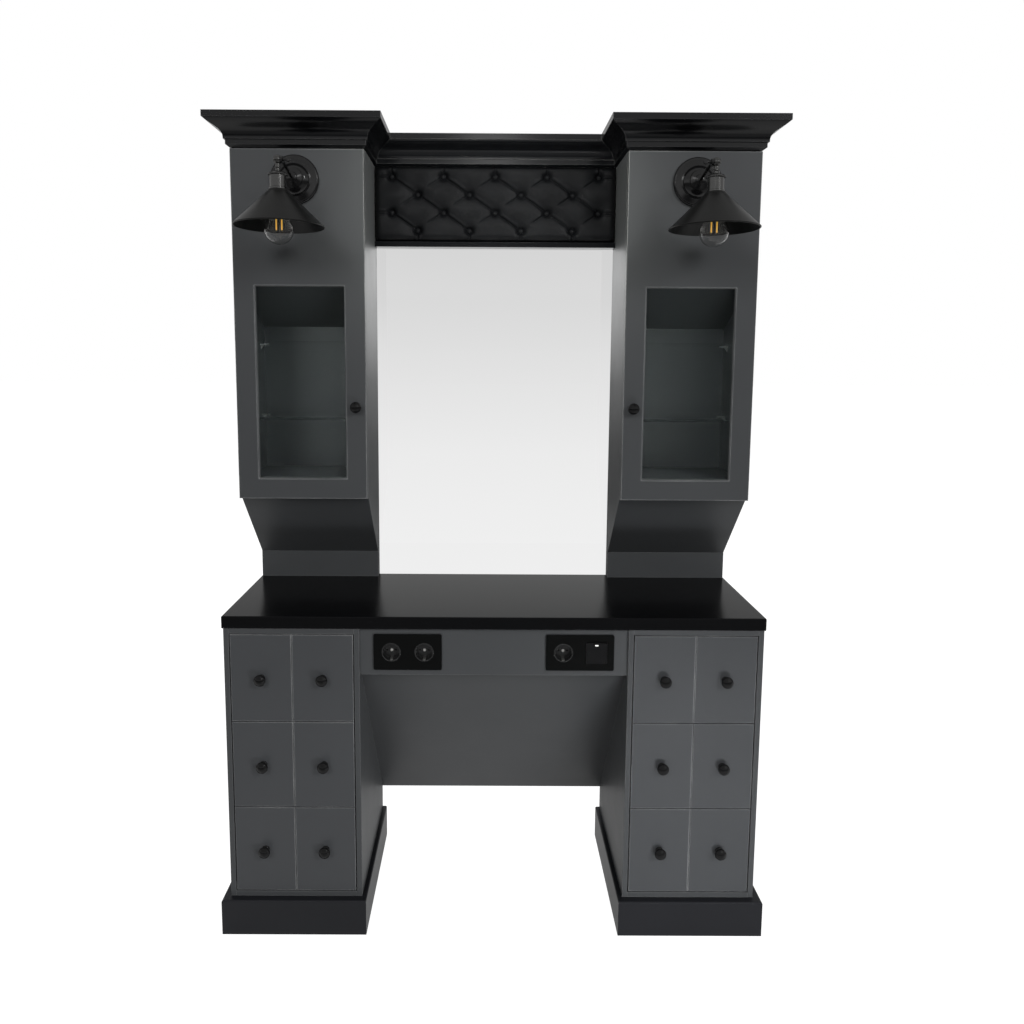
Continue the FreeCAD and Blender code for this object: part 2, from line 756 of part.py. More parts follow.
# Crown: one section, mitred round the columns and along the set-back centre
def crown_section(x, y, out_x, out_y):
    """The section's wire with its face line at (x, y), reaching out along (out_x, out_y)."""
    def at(reach, height):
        return Vector(x + reach * out_x, y + reach * out_y, crown_bottom + height)

    fillet_base = crown_height - crown_fillet_height
    cove_reach = crown_projection - crown_fillet_step - crown_cove_foot
    cove_height = fillet_base - crown_band_top - crown_cove_rise
    start = at(crown_cove_foot, crown_band_top + crown_cove_rise)
    end = at(crown_projection - crown_fillet_step, fillet_base)
    curve = Part.BSplineCurve()
    curve.interpolate([
        start,
        at(crown_cove_foot + 0.08 * cove_reach, crown_band_top + crown_cove_rise
           + 0.3 * cove_height),
        at(crown_cove_foot + 0.42 * cove_reach, crown_band_top + crown_cove_rise
           + 0.6 * cove_height),
        at(crown_cove_foot + 0.68 * cove_reach, crown_band_top + crown_cove_rise
           + 0.74 * cove_height),
        end])
    corners = [
        end, at(crown_projection, fillet_base), at(crown_projection, crown_height),
        at(-crown_backing, crown_height), at(-crown_backing, 0), at(0, 0),
        at(crown_band_projection, crown_band_bottom),
        at(crown_band_projection, crown_band_top),
        at(crown_cove_foot, crown_band_top), start]
    edges = [curve.toShape()]
    for first, second in zip(corners, corners[1:]):
        edges.append(Part.LineSegment(first, second).toShape())
    return Part.Wire(edges)


def crown_run(first, second):
    return Part.makeLoft([crown_section(*first), crown_section(*second)], True, True)


crown_corners = [
    (pedestal_outer, rear, 1, 0), (pedestal_outer, door_front, 1, -1),
    (pedestal_inner, door_front, -1, -1), (pedestal_inner, base_front, -1, -1)]
side_runs = [crown_run(first, second)
             for first, second in zip(crown_corners, crown_corners[1:])]
centre_run = crown_run(crown_corners[-1], (-pedestal_inner, base_front, 1, -1))
save("crown_mouldings", centre_run, *both_sides(side_runs))

# Mirror and the trim bar over it
save("mirror_glass", block(-pedestal_inner + mirror_side_gap, pedestal_inner - mirror_side_gap,
                           mirror_face, board_face, countertop_top, mirror_top))
trim_bar = block(-pedestal_inner, pedestal_inner, board_face - trim_depth, board_face,
                 trim_bottom, trim_top)
trim_bar = trim_bar.makeFillet(trim_edge_radius, edges_along(
    trim_bar, along_x, lambda c: c.y < board_face - trim_depth + 1))
save("pad_trim_bar", trim_bar)

# Buttoned pad: a soft block with a dimple for every button
pad = block(-pedestal_inner + pad_clearance, pedestal_inner - pad_clearance,
            pad_front, pad_back, pad_low, pad_high)
pad = pad.makeFillet(pad_edge_radius, edges_along(
    pad, along_x, lambda c: c.y < pad_front + 1) + edges_along(
    pad, along_z, lambda c: c.y < pad_front + 1))
button_places = []
for row in range(button_rows):
    count = button_columns - row % 2
    z = pad_high - button_end_margin - row * button_pitch_z
    for column in range(count):
        button_places.append(((column - (count - 1) / 2) * button_pitch_x, z))
dimple = facing_front(Part.makeCone(dimple_floor_radius, dimple_radius, dimple_depth))
button = facing_front(turned((0, 0), [
    (button_radius, 0), (button_radius, button_height * 0.3),
    cap(button_radius, button_height * 0.3, button_height), (0, 0)]))
dimple_floor = pad_front + dimple_depth
pad = pad.cut(Part.makeCompound(
    [placed(dimple, x, dimple_floor, z) for x, z in button_places]))
save("buttoned_pad", pad)
save("pad_buttons", *[placed(button, x, dimple_floor - pad_clearance, z)
                      for x, z in button_places])

# Glass shelves on small supports
shelf_back = board_face - shelf_back_gap
shelf_front = shelf_back - shelf_depth
shelves = []
supports = []
for height in shelf_heights:
    shelves.append(block(cabinet_inner + shelf_end_gap, cabinet_outer - shelf_end_gap,
                         shelf_front, shelf_back, height, height + shelf_thickness))
    for y in (shelf_front + support_inset, shelf_back - support_inset):
        tongue = block(cabinet_outer - support_reach, cabinet_outer,
                       y - support_width / 2, y + support_width / 2,
                       height - support_plate, height)
        corners = [Vector(cabinet_outer, y - support_plate / 2, height - support_plate),
                   Vector(cabinet_outer - support_rib_reach, y - support_plate / 2,
                          height - support_plate),
                   Vector(cabinet_outer, y - support_plate / 2,
                          height - support_plate - support_rib_height)]
        rib = Part.Face(Part.makePolygon(corners + corners[:1])).extrude(
            Vector(0, support_plate, 0))
        support = tongue.fuse(rib)
        supports.append(support)
        across = support.mirror(Vector(pedestal_middle, 0, 0), along_x)
        supports.append(across)
save("glass_shelves", *both_sides(shelves))
save("shelf_supports", *both_sides(supports))

# Doors: a board with a window, rebated behind for its glass
window_x0 = pedestal_middle - window_width / 2
window_x1 = pedestal_middle + window_width / 2
door = block(pedestal_inner, pedestal_outer, door_front, door_back, door_bottom, door_top)
door = door.makeFillet(panel_edge_radius, edges_along(
    door, along_z, lambda c: c.y < door_front + 0.01) + edges_along(
    door, along_x, lambda c: c.y < door_front + 0.01))
door = door.cut(block(window_x0, window_x1, door_front - 1, door_back + 1,
                      window_bottom, window_top))
door = door.makeChamfer(window_edge_bevel, edges_along(
    door, along_x, lambda c: c.y < door_front + 0.01
    and window_bottom - 1 < c.z < window_top + 1) + edges_along(
    door, along_z, lambda c: c.y < door_front + 0.01
    and window_x0 - 1 < c.x < window_x1 + 1))
door = door.cut(block(window_x0 - glass_rebate_width, window_x1 + glass_rebate_width,
                      glass_front, door_back + 1, window_bottom - glass_rebate_width,
                      window_top + glass_rebate_width))
knob_x = pedestal_inner + door_knob_inset
door = door.cut(screw_hole(knob_x, door_front, door_knob_height, door_thickness))
door = door.cut(Part.makeCylinder(
    lamp_wire_hole_radius, door_thickness + 2,
    Vector(lamp_middle, door_front - 1, backplate_height), along_y))
glass_margin = glass_rebate_width - glass_edge_gap
door_glass = block(window_x0 - glass_margin, window_x1 + glass_margin,
                   glass_front, glass_front + glass_thickness,
                   window_bottom - glass_margin, window_top + glass_margin)
door_knob = [placed(piece, knob_x, door_front, door_knob_height)
             for piece in knob(door_thickness)]
for side, turn in (("right", lambda shape: shape), ("left", mirrored)):
    save(side + "_door", turn(door))
    save(side + "_door_glass", turn(door_glass))
    save(side + "_door_knob", *[turn(piece) for piece in door_knob])


# Hinges: the fixed leaf carries two knuckles and the pin, the door leaf one knuckle
def knuckle(z0, z1):
    return Part.makeCylinder(hinge_knuckle_radius, z1 - z0,
                             Vector(hinge_axis_x, hinge_axis_y, z0), along_z)


fixed_leaves = []
moving_leaves = []
leaf_x0 = pedestal_outer - hinge_leaf_width
knuckle_length = hinge_height / 3
for middle in hinge_heights:
    low = middle - hinge_height / 2
    high = middle + hinge_height / 2
    lower = low + knuckle_length
    upper = high - knuckle_length
    fixed = block(leaf_x0, hinge_axis_x, column_front - hinge_leaf_thickness, column_front,
                  low, high)
    fixed = fixed.cut(Part.makeCylinder(
        hinge_knuckle_radius + hinge_knuckle_gap, upper - lower + 2 * hinge_knuckle_gap,
        Vector(hinge_axis_x, hinge_axis_y, lower - hinge_knuckle_gap), along_z))
    fixed = fixed.fuse([knuckle(low, lower - hinge_knuckle_gap),
                        knuckle(upper + hinge_knuckle_gap, high)])
    pin = Part.makeCylinder(hinge_pin_radius, hinge_height,
                            Vector(hinge_axis_x, hinge_axis_y, low), along_z)
    fixed_leaves.append(fixed.fuse(pin).removeSplitter())
    moving = block(leaf_x0, hinge_axis_x, door_back, door_back + hinge_leaf_thickness,
                   low, high)
    for z0, z1 in ((low - 1, lower), (upper, high + 1)):
        moving = moving.cut(Part.makeCylinder(
            hinge_knuckle_radius + hinge_knuckle_gap, z1 - z0,
            Vector(hinge_axis_x, hinge_axis_y, z0), along_z))
    moving = moving.fuse(knuckle(lower, upper)).removeSplitter()
    moving = moving.cut(Part.makeCylinder(
        hinge_pin_radius + hinge_pin_fit, hinge_height + 2,
        Vector(hinge_axis_x, hinge_axis_y, low - 1), along_z))
    moving_leaves.append(moving)
save("door_hinge_fixed_leaves", *both_sides(fixed_leaves))
save("right_door_hinge_leaves", *moving_leaves)
save("left_door_hinge_leaves", *[mirrored(leaf) for leaf in moving_leaves])

# Lamps: a turned backplate with an arm, and a holder, shade and bulb that tilt on it
step_radius = (backplate_dome_radius + backplate_boss_radius) / 2
backplate = facing_front(turned((0, 0), [
    (backplate_radius, 0), (backplate_radius, backplate_rim),
    ((backplate_radius - 1.5, backplate_shoulder - 2),
     (backplate_radius - 5, backplate_shoulder - 1)),
    (backplate_dome_radius + 3, backplate_shoulder),
    (backplate_dome_radius, backplate_shoulder + 1),
    (backplate_dome_radius - 1, backplate_dome_rise - 4),
    ((backplate_dome_radius - 5, backplate_dome_rise),
     (step_radius, backplate_dome_rise + 4)),
    (step_radius - 1, backplate_dome_rise + 7),
    ((backplate_boss_radius + 4, backplate_dome_rise + 9),
     (backplate_boss_radius + 1, backplate_dome_rise + 10)),
    (backplate_boss_radius, backplate_boss_rise - 2),
    cap(backplate_boss_radius, backplate_boss_rise - 2, backplate_boss_rise),
    (0, 0)]))
backplate = placed(backplate, lamp_middle, door_front, backplate_height)
lug_x1 = lamp_middle - knuckle_flat - lug_gap
lug_x0 = lug_x1 - lug_thickness
arm_start = Vector(lamp_middle, door_front - backplate_boss_rise + arm_radius,
                   backplate_height)
arm_end = Vector((lug_x0 + lug_x1) / 2, lamp_axis, lamp_pivot_height)
arm_run = arm_end - arm_start
arm = Part.makeCylinder(arm_radius, arm_run.Length, arm_start, arm_run)
lug = Part.makeCylinder(lug_radius, lug_thickness,
                        Vector(lug_x0, lamp_axis, lamp_pivot_height), along_x)
knuckle_room = Part.makeSphere(knuckle_radius + lug_gap,
                               Vector(lamp_middle, lamp_axis, lamp_pivot_height))
knuckle_room = knuckle_room.cut(block(
    lug_x1 - 2 * knuckle_radius, lug_x1,
    lamp_axis - 2 * knuckle_radius, lamp_axis + 2 * knuckle_radius,
    lamp_pivot_height - 2 * knuckle_radius, lamp_pivot_height + 2 * knuckle_radius))


def pivot_bore(x0, x1):
    return Part.makeCylinder(pivot_pin_radius + pivot_pin_fit, x1 - x0,
                             Vector(x0, lamp_axis, lamp_pivot_height), along_x)


lamp_bracket = backplate.fuse(arm).cut(knuckle_room).fuse(lug)
lamp_bracket = lamp_bracket.cut(pivot_bore(lug_x0 - 2 * arm_radius, lug_x1 + 1))
screw_room = Part.makeCylinder(
    thumbscrew_shoulder_radius + lug_gap, thumbscrew_shoulder_length + thumbscrew_reach,
    Vector(lug_x0 - thumbscrew_shoulder_length - thumbscrew_reach, lamp_axis,
           lamp_pivot_height), along_x)
lamp_bracket = lamp_bracket.cut(screw_room)

# The thumbscrew is the tilt's pivot pin: a paddle, a shoulder and a shank
shoulder_x1 = lug_x0 - thumbscrew_seat_gap
shoulder_x0 = shoulder_x1 - thumbscrew_shoulder_length
pin_end = lamp_middle - knuckle_flat + pivot_pin_depth
thumbscrew = Part.makeCylinder(
    pivot_pin_radius, pin_end - shoulder_x0 + thumbscrew_reach,
    Vector(shoulder_x0 - thumbscrew_reach, lamp_axis, lamp_pivot_height), along_x)
paddle = Part.makeCylinder(
    thumbscrew_paddle_radius, thumbscrew_paddle_thickness,
    Vector(shoulder_x0 - thumbscrew_reach, lamp_axis - thumbscrew_paddle_thickness / 2,
           lamp_pivot_height), along_y)
paddle = paddle.makeFillet(thumbscrew_paddle_ease,
                           [edge for edge in paddle.Edges if len(edge.Vertexes) == 1])
shoulder = Part.makeCylinder(
    thumbscrew_shoulder_radius, thumbscrew_shoulder_length,
    Vector(shoulder_x0, lamp_axis, lamp_pivot_height), along_x)
thumbscrew = thumbscrew.fuse([paddle, shoulder])

neck_top = lamp_pivot_height - knuckle_radius * 0.6
neck_low = holder_cap_bottom + 8
bead_middle = (neck_low + neck_top - knuckle_radius * 0.4) / 2
holder = turned((0, sleeve_bottom), [
    (holder_collar_radius, sleeve_bottom), (holder_collar_radius, shade_top),
    (holder_ring_radius, shade_top), (holder_ring_radius, shade_top + holder_ring_height),
    (holder_collar_radius, shade_top + holder_ring_height + 1),
    (holder_collar_radius, holder_cap_bottom),
    (holder_cap_radius - 1, holder_cap_bottom),
    ((holder_cap_radius, holder_cap_bottom + 1.2),
     (holder_cap_radius - 1, holder_cap_bottom + 2.5)),
    ((holder_cap_radius * 0.74, holder_cap_bottom + 6),
     (holder_neck_radius + 1.5, neck_low)),
    (holder_neck_radius, neck_low + 1),
    (holder_neck_radius, bead_middle - holder_bead_width / 2),
    ((holder_bead_radius, bead_middle),
     (holder_neck_radius, bead_middle + holder_bead_width / 2)),
    (holder_neck_radius, neck_top), (0, neck_top), (0, sleeve_bottom)])
holder = holder.fuse(Part.makeSphere(knuckle_radius, Vector(0, 0, lamp_pivot_height)))
holder = holder.cut(Part.makeCylinder(
    holder_socket_radius, holder_socket_depth + 1, Vector(0, 0, sleeve_bottom - 1)))
holder = placed(holder, lamp_middle, lamp_axis, 0)
holder = holder.cut(block(
    lug_x0 - knuckle_radius, lug_x1 + lug_gap,
    lamp_axis - 2 * knuckle_radius, lamp_axis + 2 * knuckle_radius,
    lamp_pivot_height - knuckle_radius - lug_gap, lamp_pivot_height + 2 * knuckle_radius))
holder = holder.cut(pivot_bore(lug_x1, pin_end + 1))

seat_radius = holder_collar_radius + pivot_pin_fit
shoulder_low = shade_top - shade_shoulder_height
shade = turned((seat_radius, shade_top), [
    (holder_ring_radius, shade_top),
    ((shade_shoulder_radius - 1.5, shade_top - shade_shoulder_height * 0.35),
     (shade_shoulder_radius, shoulder_low)),
    (shade_radius - shade_bead, shade_rim + 2 * shade_bead),
    ((shade_radius, shade_rim + shade_bead), (shade_radius - shade_bead, shade_rim)),
    (shade_radius - shade_bead - shade_wall, shade_rim),
    (shade_radius - shade_bead - 2 * shade_wall, shade_rim + shade_bead),
    (shade_shoulder_radius - shade_wall, shoulder_low - shade_wall),
    (seat_radius, shade_top - 2 * shade_wall),
    (seat_radius, shade_top)])
shade = placed(shade, lamp_middle, lamp_axis, 0)


def envelope(inset):
    """A closed globe with its neck, smaller than the bulb by the inset all round."""
    middle = bulb_bottom + bulb_radius
    radius = bulb_radius - inset
    neck = bulb_base_radius - inset
    side = math.sqrt(3) / 2
    return turned((0, bulb_top + bulb_base_length), [
        (neck, bulb_top + bulb_base_length), (neck, bulb_top),
        ((neck + radius * 0.13, bulb_top - radius * 0.32),
         (radius * side, middle + radius / 2)),
        ((radius, middle), (0, middle - radius)),
        (0, bulb_top + bulb_base_length)])


bulb = placed(envelope(0).cut(envelope(bulb_wall)), lamp_middle, lamp_axis, 0)
for side, turn in (("right", lambda shape: shape), ("left", mirrored)):
    save(side + "_lamp_bracket", turn(lamp_bracket))
    save(side + "_lamp_thumbscrew", turn(thumbscrew))
    save(side + "_lamp_holder", turn(holder))
    save(side + "_lamp_shade", turn(shade))
    save(side + "_lamp_bulb", turn(bulb))
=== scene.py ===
import math
import random

import bmesh
import bpy
from mathutils import Matrix, Vector


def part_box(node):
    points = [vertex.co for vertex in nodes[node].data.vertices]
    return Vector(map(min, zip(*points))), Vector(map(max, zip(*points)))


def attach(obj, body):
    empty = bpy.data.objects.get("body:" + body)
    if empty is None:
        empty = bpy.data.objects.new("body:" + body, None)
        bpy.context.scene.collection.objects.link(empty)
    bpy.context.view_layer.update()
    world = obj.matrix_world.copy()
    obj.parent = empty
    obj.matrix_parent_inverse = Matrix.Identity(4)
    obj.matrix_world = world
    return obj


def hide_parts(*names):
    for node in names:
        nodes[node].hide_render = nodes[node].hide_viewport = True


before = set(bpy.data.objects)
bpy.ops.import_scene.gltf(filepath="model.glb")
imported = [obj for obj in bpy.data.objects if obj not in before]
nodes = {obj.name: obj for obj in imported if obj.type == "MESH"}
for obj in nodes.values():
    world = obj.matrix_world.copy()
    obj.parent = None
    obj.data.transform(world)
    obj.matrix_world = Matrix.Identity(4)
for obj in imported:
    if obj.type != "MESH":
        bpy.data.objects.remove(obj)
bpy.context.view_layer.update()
sides = ("left", "right")
print("frame loaded:", len(nodes), "nodes")


# small helpers
def meshObject(name, shape, smooth=False):
    mesh = bpy.data.meshes.new(name)
    shape.to_mesh(mesh)
    shape.free()
    if smooth:
        mesh.shade_smooth()
    made = bpy.data.objects.new(name, mesh)
    bpy.context.scene.collection.objects.link(made)
    return made


def newMaterial(name):
    material = bpy.data.materials.new(name)
    material.use_nodes = True
    tree = material.node_tree
    return material, tree, tree.nodes["Principled BSDF"]


def feed(tree, socket, value):
    # a number or colour is written on the socket, a node's output is linked to it
    if isinstance(value, bpy.types.NodeSocket):
        tree.links.new(value, socket)
    elif isinstance(value, tuple) and len(value) == 3 and socket.type == "RGBA":
        socket.default_value = (*value, 1)
    else:
        socket.default_value = value


def addMath(tree, operation, first, second=0.0):
    node = tree.nodes.new("ShaderNodeMath")
    node.operation = operation
    feed(tree, node.inputs[0], first)
    feed(tree, node.inputs[1], second)
    return node.outputs[0]


def addRange(tree, value, low, high, toLow=0.0, toHigh=1.0):
    node = tree.nodes.new("ShaderNodeMapRange")
    labels = ("Value", "From Min", "From Max", "To Min", "To Max")
    for label, number in zip(labels, (value, low, high, toLow, toHigh)):
        feed(tree, node.inputs[label], number)
    return node.outputs["Result"]


def addNoise(tree, vector, scale, detail=3.0, roughness=0.55):
    node = tree.nodes.new("ShaderNodeTexNoise")
    labels = ("Vector", "Scale", "Detail", "Roughness")
    for label, number in zip(labels, (vector, scale, detail, roughness)):
        feed(tree, node.inputs[label], number)
    return node.outputs["Fac"]


def addMix(tree, factor, first, second):
    node = tree.nodes.new("ShaderNodeMix")
    node.data_type = "RGBA"
    feed(tree, node.inputs["Factor"], factor)
    feed(tree, node.inputs[6], first)
    feed(tree, node.inputs[7], second)
    return node.outputs[2]


def addRamp(tree, factor, tones):
    # grey tones at rising places from 0 to 1
    ramp = tree.nodes.new("ShaderNodeValToRGB")
    stops = ramp.color_ramp.elements
    for number, (position, tone) in enumerate(tones):
        stop = stops[number] if number < 2 else stops.new(position)
        stop.position = position
        stop.color = (tone, tone, tone, 1)
    feed(tree, ramp.inputs["Fac"], factor)
    return ramp.outputs["Color"]


def addBump(tree, height, distance, under=None):
    node = tree.nodes.new("ShaderNodeBump")
    feed(tree, node.inputs["Height"], height)
    feed(tree, node.inputs["Distance"], distance)
    node.inputs["Strength"].default_value = 1.0
    if under:
        tree.links.new(under, node.inputs["Normal"])
    return node.outputs["Normal"]


def addVectorMath(tree, operation, *values):
    node = tree.nodes.new("ShaderNodeVectorMath")
    node.operation = operation
    for socket, value in zip(node.inputs, values):
        feed(tree, socket, value)
    return node.outputs


def splitPlace(tree, place):
    split = tree.nodes.new("ShaderNodeSeparateXYZ")
    feed(tree, split.inputs[0], place)
    return split.outputs


def objectCoords(tree):
    return tree.nodes.new("ShaderNodeTexCoord").outputs["Object"]


def scaled(colour, share):
    return tuple(part * share for part in colour)


def newGroup(name, inputs, outputs):
    tree = bpy.data.node_groups.new(name, "ShaderNodeTree")
    kinds = {"vector": "NodeSocketVector", "number": "NodeSocketFloat",
             "colour": "NodeSocketColor"}
    for label, kind in inputs:
        tree.interface.new_socket(label, in_out="INPUT", socket_type=kinds[kind])
    for label, kind in outputs:
        tree.interface.new_socket(label, in_out="OUTPUT", socket_type=kinds[kind])
    return tree, tree.nodes.new("NodeGroupInput").outputs, tree.nodes.new("NodeGroupOutput").inputs


def placeGroup(tree, group, values):
    node = tree.nodes.new("ShaderNodeGroup")
    node.node_tree = group
    for label, value in values.items():
        feed(tree, node.inputs[label], value)
    return node.outputs


# camera at a seated visitor's distance, a little left of the middle
cameraSettings = {
    "place": (-0.0214, -1.6996, 1.3207),
    "pitchDown": 5.924,
    "yaw": -0.1375,
    "roll": -0.3209,
    "lens": 26.016,
    "sensor": 36.0,
    "shift": (0.0243, -0.0800),
}


def makeCamera(settings):
    data = bpy.data.cameras.new("stationCamera")
    data.sensor_width = settings["sensor"]
    data.lens = settings["lens"]
    data.shift_x, data.shift_y = settings["shift"]
    camera = bpy.data.objects.new("stationCamera", data)
    turn = Matrix.Rotation(math.radians(settings["yaw"]), 4, "Z")
    turn = turn @ Matrix.Rotation(math.radians(90 - settings["pitchDown"]), 4, "X")
    turn = turn @ Matrix.Rotation(math.radians(-settings["roll"]), 4, "Z")
    camera.matrix_world = Matrix.Translation(settings["place"]) @ turn
    bpy.context.scene.collection.objects.link(camera)
    bpy.context.scene.camera = camera
    bpy.context.scene.view_settings.view_transform = "Standard"


makeCamera(cameraSettings)


# studio: a pale room, a white floor and soft lamps, of which only two show in glossy surfaces
lampBase = {"spread": 180, "gloss": False, "colour": (1.0, 1.0, 1.0)}
studioSettings = {
    "roomLight": 0.25,
    "glossWall": (0.06, 0.78),       # at the horizon and just above it
    "glossWallRise": (0.01, 0.085),
    "glossCeiling": 0.60,
    "glossCeilingRise": (0.11, 0.36),
    "floorWidth": 60.0,
    "floorTone": 0.26,
    "floorRoughness": 0.9,
    "floorLift": 0.975,
    "glossFloor": (0.03, 0.38),      # far in front of the station, and from its foot backwards
    "glossFloorStart": (-1.5, -0.6),
    "lamps": {
        "crownLamp": dict(lampBase, place=(0.0, -0.30, 1.74), aim=(0, 0.1, 1.66),
                          size=(0.22, 0.10), power=2.4, spread=112, colour=(1.0, 1.0, 0.90)),
        "sparkLamp": dict(lampBase, place=(0.0, -1.1, 2.15), aim=(0, 0.1, 1.66),
                          size=(0.22, 0.14), power=0.4, gloss=True),
        "glintLamp": dict(lampBase, place=(2.7, -3.2, 3.1), aim=(0, 0, 0.8),
                          size=(0.4, 0.4), power=12.0, gloss=True),
        "rightLamp": dict(lampBase, place=(3.0, -3.7, 3.4), aim=(0, 0, 0.8),
                          size=(1.6, 1.6), power=110.0),
        "leftLamp": dict(lampBase, place=(-1.8, -4.2, 3.3), aim=(0, 0, 0.8),
                         size=(1.6, 1.6), power=86.0),
        "backLamp": dict(lampBase, place=(-1.2, 3.6, 2.6), aim=(0, 0.2, 0.9),
                         size=(1.8, 1.8), power=85.0),
        "floorLamp": dict(lampBase, place=(0.60, -1.05, 0.14), aim=(-0.15, 0, 0.40),
                          size=(0.5, 0.14), power=6.4, colour=(0.97, 0.98, 1.0)),
    },
}


def lightPathFor(tree, *rays):
    # 1 for any of the named kinds of ray, otherwise 0
    path = tree.nodes.new("ShaderNodeLightPath")
    found = path.outputs[rays[0]]
    for ray in rays[1:]:
        found = addMath(tree, "MAXIMUM", found, path.outputs[ray])
    return found


def makeRoom(settings):
    world = bpy.data.worlds.new("studioRoom")
    bpy.context.scene.world = world
    world.use_nodes = True
    tree = world.node_tree
    tree.nodes.clear()
    height = splitPlace(tree, tree.nodes.new("ShaderNodeTexCoord").outputs["Generated"])["Z"]
    wall = addRange(tree, height, *settings["glossWallRise"], *settings["glossWall"])
    ceiling = addRange(tree, height, *settings["glossCeilingRise"], 1.0,
                       settings["glossCeiling"])
    glossy = lightPathFor(tree, "Is Glossy Ray")
    mirrored = addMath(tree, "MULTIPLY", addMath(tree, "MULTIPLY", wall, ceiling), glossy)
    plain = addMath(tree, "MULTIPLY", addMath(tree, "SUBTRACT", 1.0, glossy),
                    settings["roomLight"])
    seen = lightPathFor(tree, "Is Camera Ray", "Is Transmission Ray")
    strength = addMath(tree, "MAXIMUM", addMath(tree, "ADD", mirrored, plain), seen)
    light = tree.nodes.new("ShaderNodeBackground")
    light.inputs["Color"].default_value = (1, 1, 1, 1)
    feed(tree, light.inputs["Strength"], strength)
    out = tree.nodes.new("ShaderNodeOutputWorld")
    tree.links.new(light.outputs[0], out.inputs["Surface"])


def makeFloor(settings):
    shape = bmesh.new()
    bmesh.ops.create_grid(shape, x_segments=1, y_segments=1, size=settings["floorWidth"] / 2)
    floor = meshObject("studioFloor", shape)
    paper, tree, surface = newMaterial("floorPaper")
    surface.inputs["Base Color"].default_value = (*[settings["floorTone"]] * 3, 1)
    surface.inputs["Roughness"].default_value = settings["floorRoughness"]
    surface.inputs["Specular IOR Level"].default_value = 0.0
    behind = addRange(tree, splitPlace(tree, objectCoords(tree))["Y"],
                      *settings["glossFloorStart"], *settings["glossFloor"])
    lift = addMath(tree, "MULTIPLY", behind, lightPathFor(tree, "Is Glossy Ray"))
    seen = addMath(tree, "MULTIPLY", settings["floorLift"],
                   lightPathFor(tree, "Is Camera Ray", "Is Transmission Ray"))
    surface.inputs["Emission Color"].default_value = (1, 1, 1, 1)
    feed(tree, surface.inputs["Emission Strength"], addMath(tree, "ADD", lift, seen))
    floor.data.materials.append(paper)


def makeLamps(settings):
    for name, lamp in settings["lamps"].items():
        data = bpy.data.lights.new(name, "AREA")
        data.shape = "RECTANGLE"
        data.size, data.size_y = lamp["size"]
        data.energy = lamp["power"]
        data.spread = math.radians(lamp["spread"])
        data.color = lamp["colour"]
        made = bpy.data.objects.new(name, data)
        made.visible_camera = False
        made.visible_glossy = lamp["gloss"]
        look = (Vector(lamp["aim"]) - Vector(lamp["place"])).to_track_quat("-Z", "Y")
        made.matrix_world = Matrix.Translation(lamp["place"]) @ look.to_matrix().to_4x4()
        bpy.context.scene.collection.objects.link(made)


makeRoom(studioSettings)
makeFloor(studioSettings)
makeLamps(studioSettings)
print("studio made")


# shared surface effects: where their noise counts as low and high, and their scales
filmSettings = {"toneBand": (0.3, 0.7), "cloudScale": 2.7}
edgeHighlightSettings = {"samples": 4, "facing": (0.995, 0.90), "breakBand": (0.35, 0.65),
                "leastHighlight": 0.35, "breakScale": 9.0}
grainSettings = {"warpScale": 0.25, "warp": (0.002, 0.002, 0.002), "pebbleEdge": 0.22,
                 "fineScale": 3.0, "fineShare": 0.3}


def makePaintFilm(settings):
    # slow changes of tone and gloss, and the fine ripple of sprayed paint
    tree, given, result = newGroup(
        "paintFilm",
        [("Vector", "vector"), ("Colour", "colour"), ("Tone Spread", "number"),
         ("Roughness", "number"), ("Gloss Spread", "number"), ("Patch Scale", "number"),
         ("Ripple Scale", "number")],
        [("Colour", "colour"), ("Roughness", "number"), ("Height", "number")])
    patches = addNoise(tree, given["Vector"], given["Patch Scale"], 4.0, 0.6)
    low = addMath(tree, "SUBTRACT", 1.0, given["Tone Spread"])
    high = addMath(tree, "ADD", 1.0, given["Tone Spread"])
    toned = tree.nodes.new("ShaderNodeVectorMath")
    toned.operation = "SCALE"
    feed(tree, toned.inputs[0], given["Colour"])
    feed(tree, toned.inputs["Scale"], addRange(tree, patches, *settings["toneBand"], low, high))
    feed(tree, result["Colour"], toned.outputs[0])
    cloudScale = addMath(tree, "MULTIPLY", given["Patch Scale"], settings["cloudScale"])
    clouds = addNoise(tree, given["Vector"], cloudScale, 5.0, 0.7)
    change = addMath(tree, "MULTIPLY", addMath(tree, "SUBTRACT", clouds, 0.5),
                     given["Gloss Spread"])
    feed(tree, result["Roughness"], addMath(tree, "ADD", given["Roughness"], change))
    feed(tree, result["Height"], addNoise(tree, given["Vector"], given["Ripple Scale"], 2.0))
    return tree


def makePaintedEdgeHighlight(settings):
    # painted highlight: a mask along corners, where the edges are painted lighter as if they
    # caught the light, broken up so that no edge is evenly lit
    tree, given, result = newGroup(
        "paintedEdgeHighlight", [("Vector", "vector"), ("Radius", "number"), ("Break Scale", "number")],
        [("Mask", "number")])
    rounded = tree.nodes.new("ShaderNodeBevel")
    rounded.samples = settings["samples"]
    feed(tree, rounded.inputs["Radius"], given["Radius"])
    facing = addVectorMath(tree, "DOT_PRODUCT", rounded.outputs["Normal"],
                           tree.nodes.new("ShaderNodeNewGeometry").outputs["Normal"])
    edge = addRange(tree, facing["Value"], *settings["facing"])
    breaks = addRange(tree, addNoise(tree, given["Vector"], given["Break Scale"], 4.0),
                      *settings["breakBand"], settings["leastHighlight"], 1.0)
    feed(tree, result["Mask"], addMath(tree, "MULTIPLY", edge, breaks))
    return tree


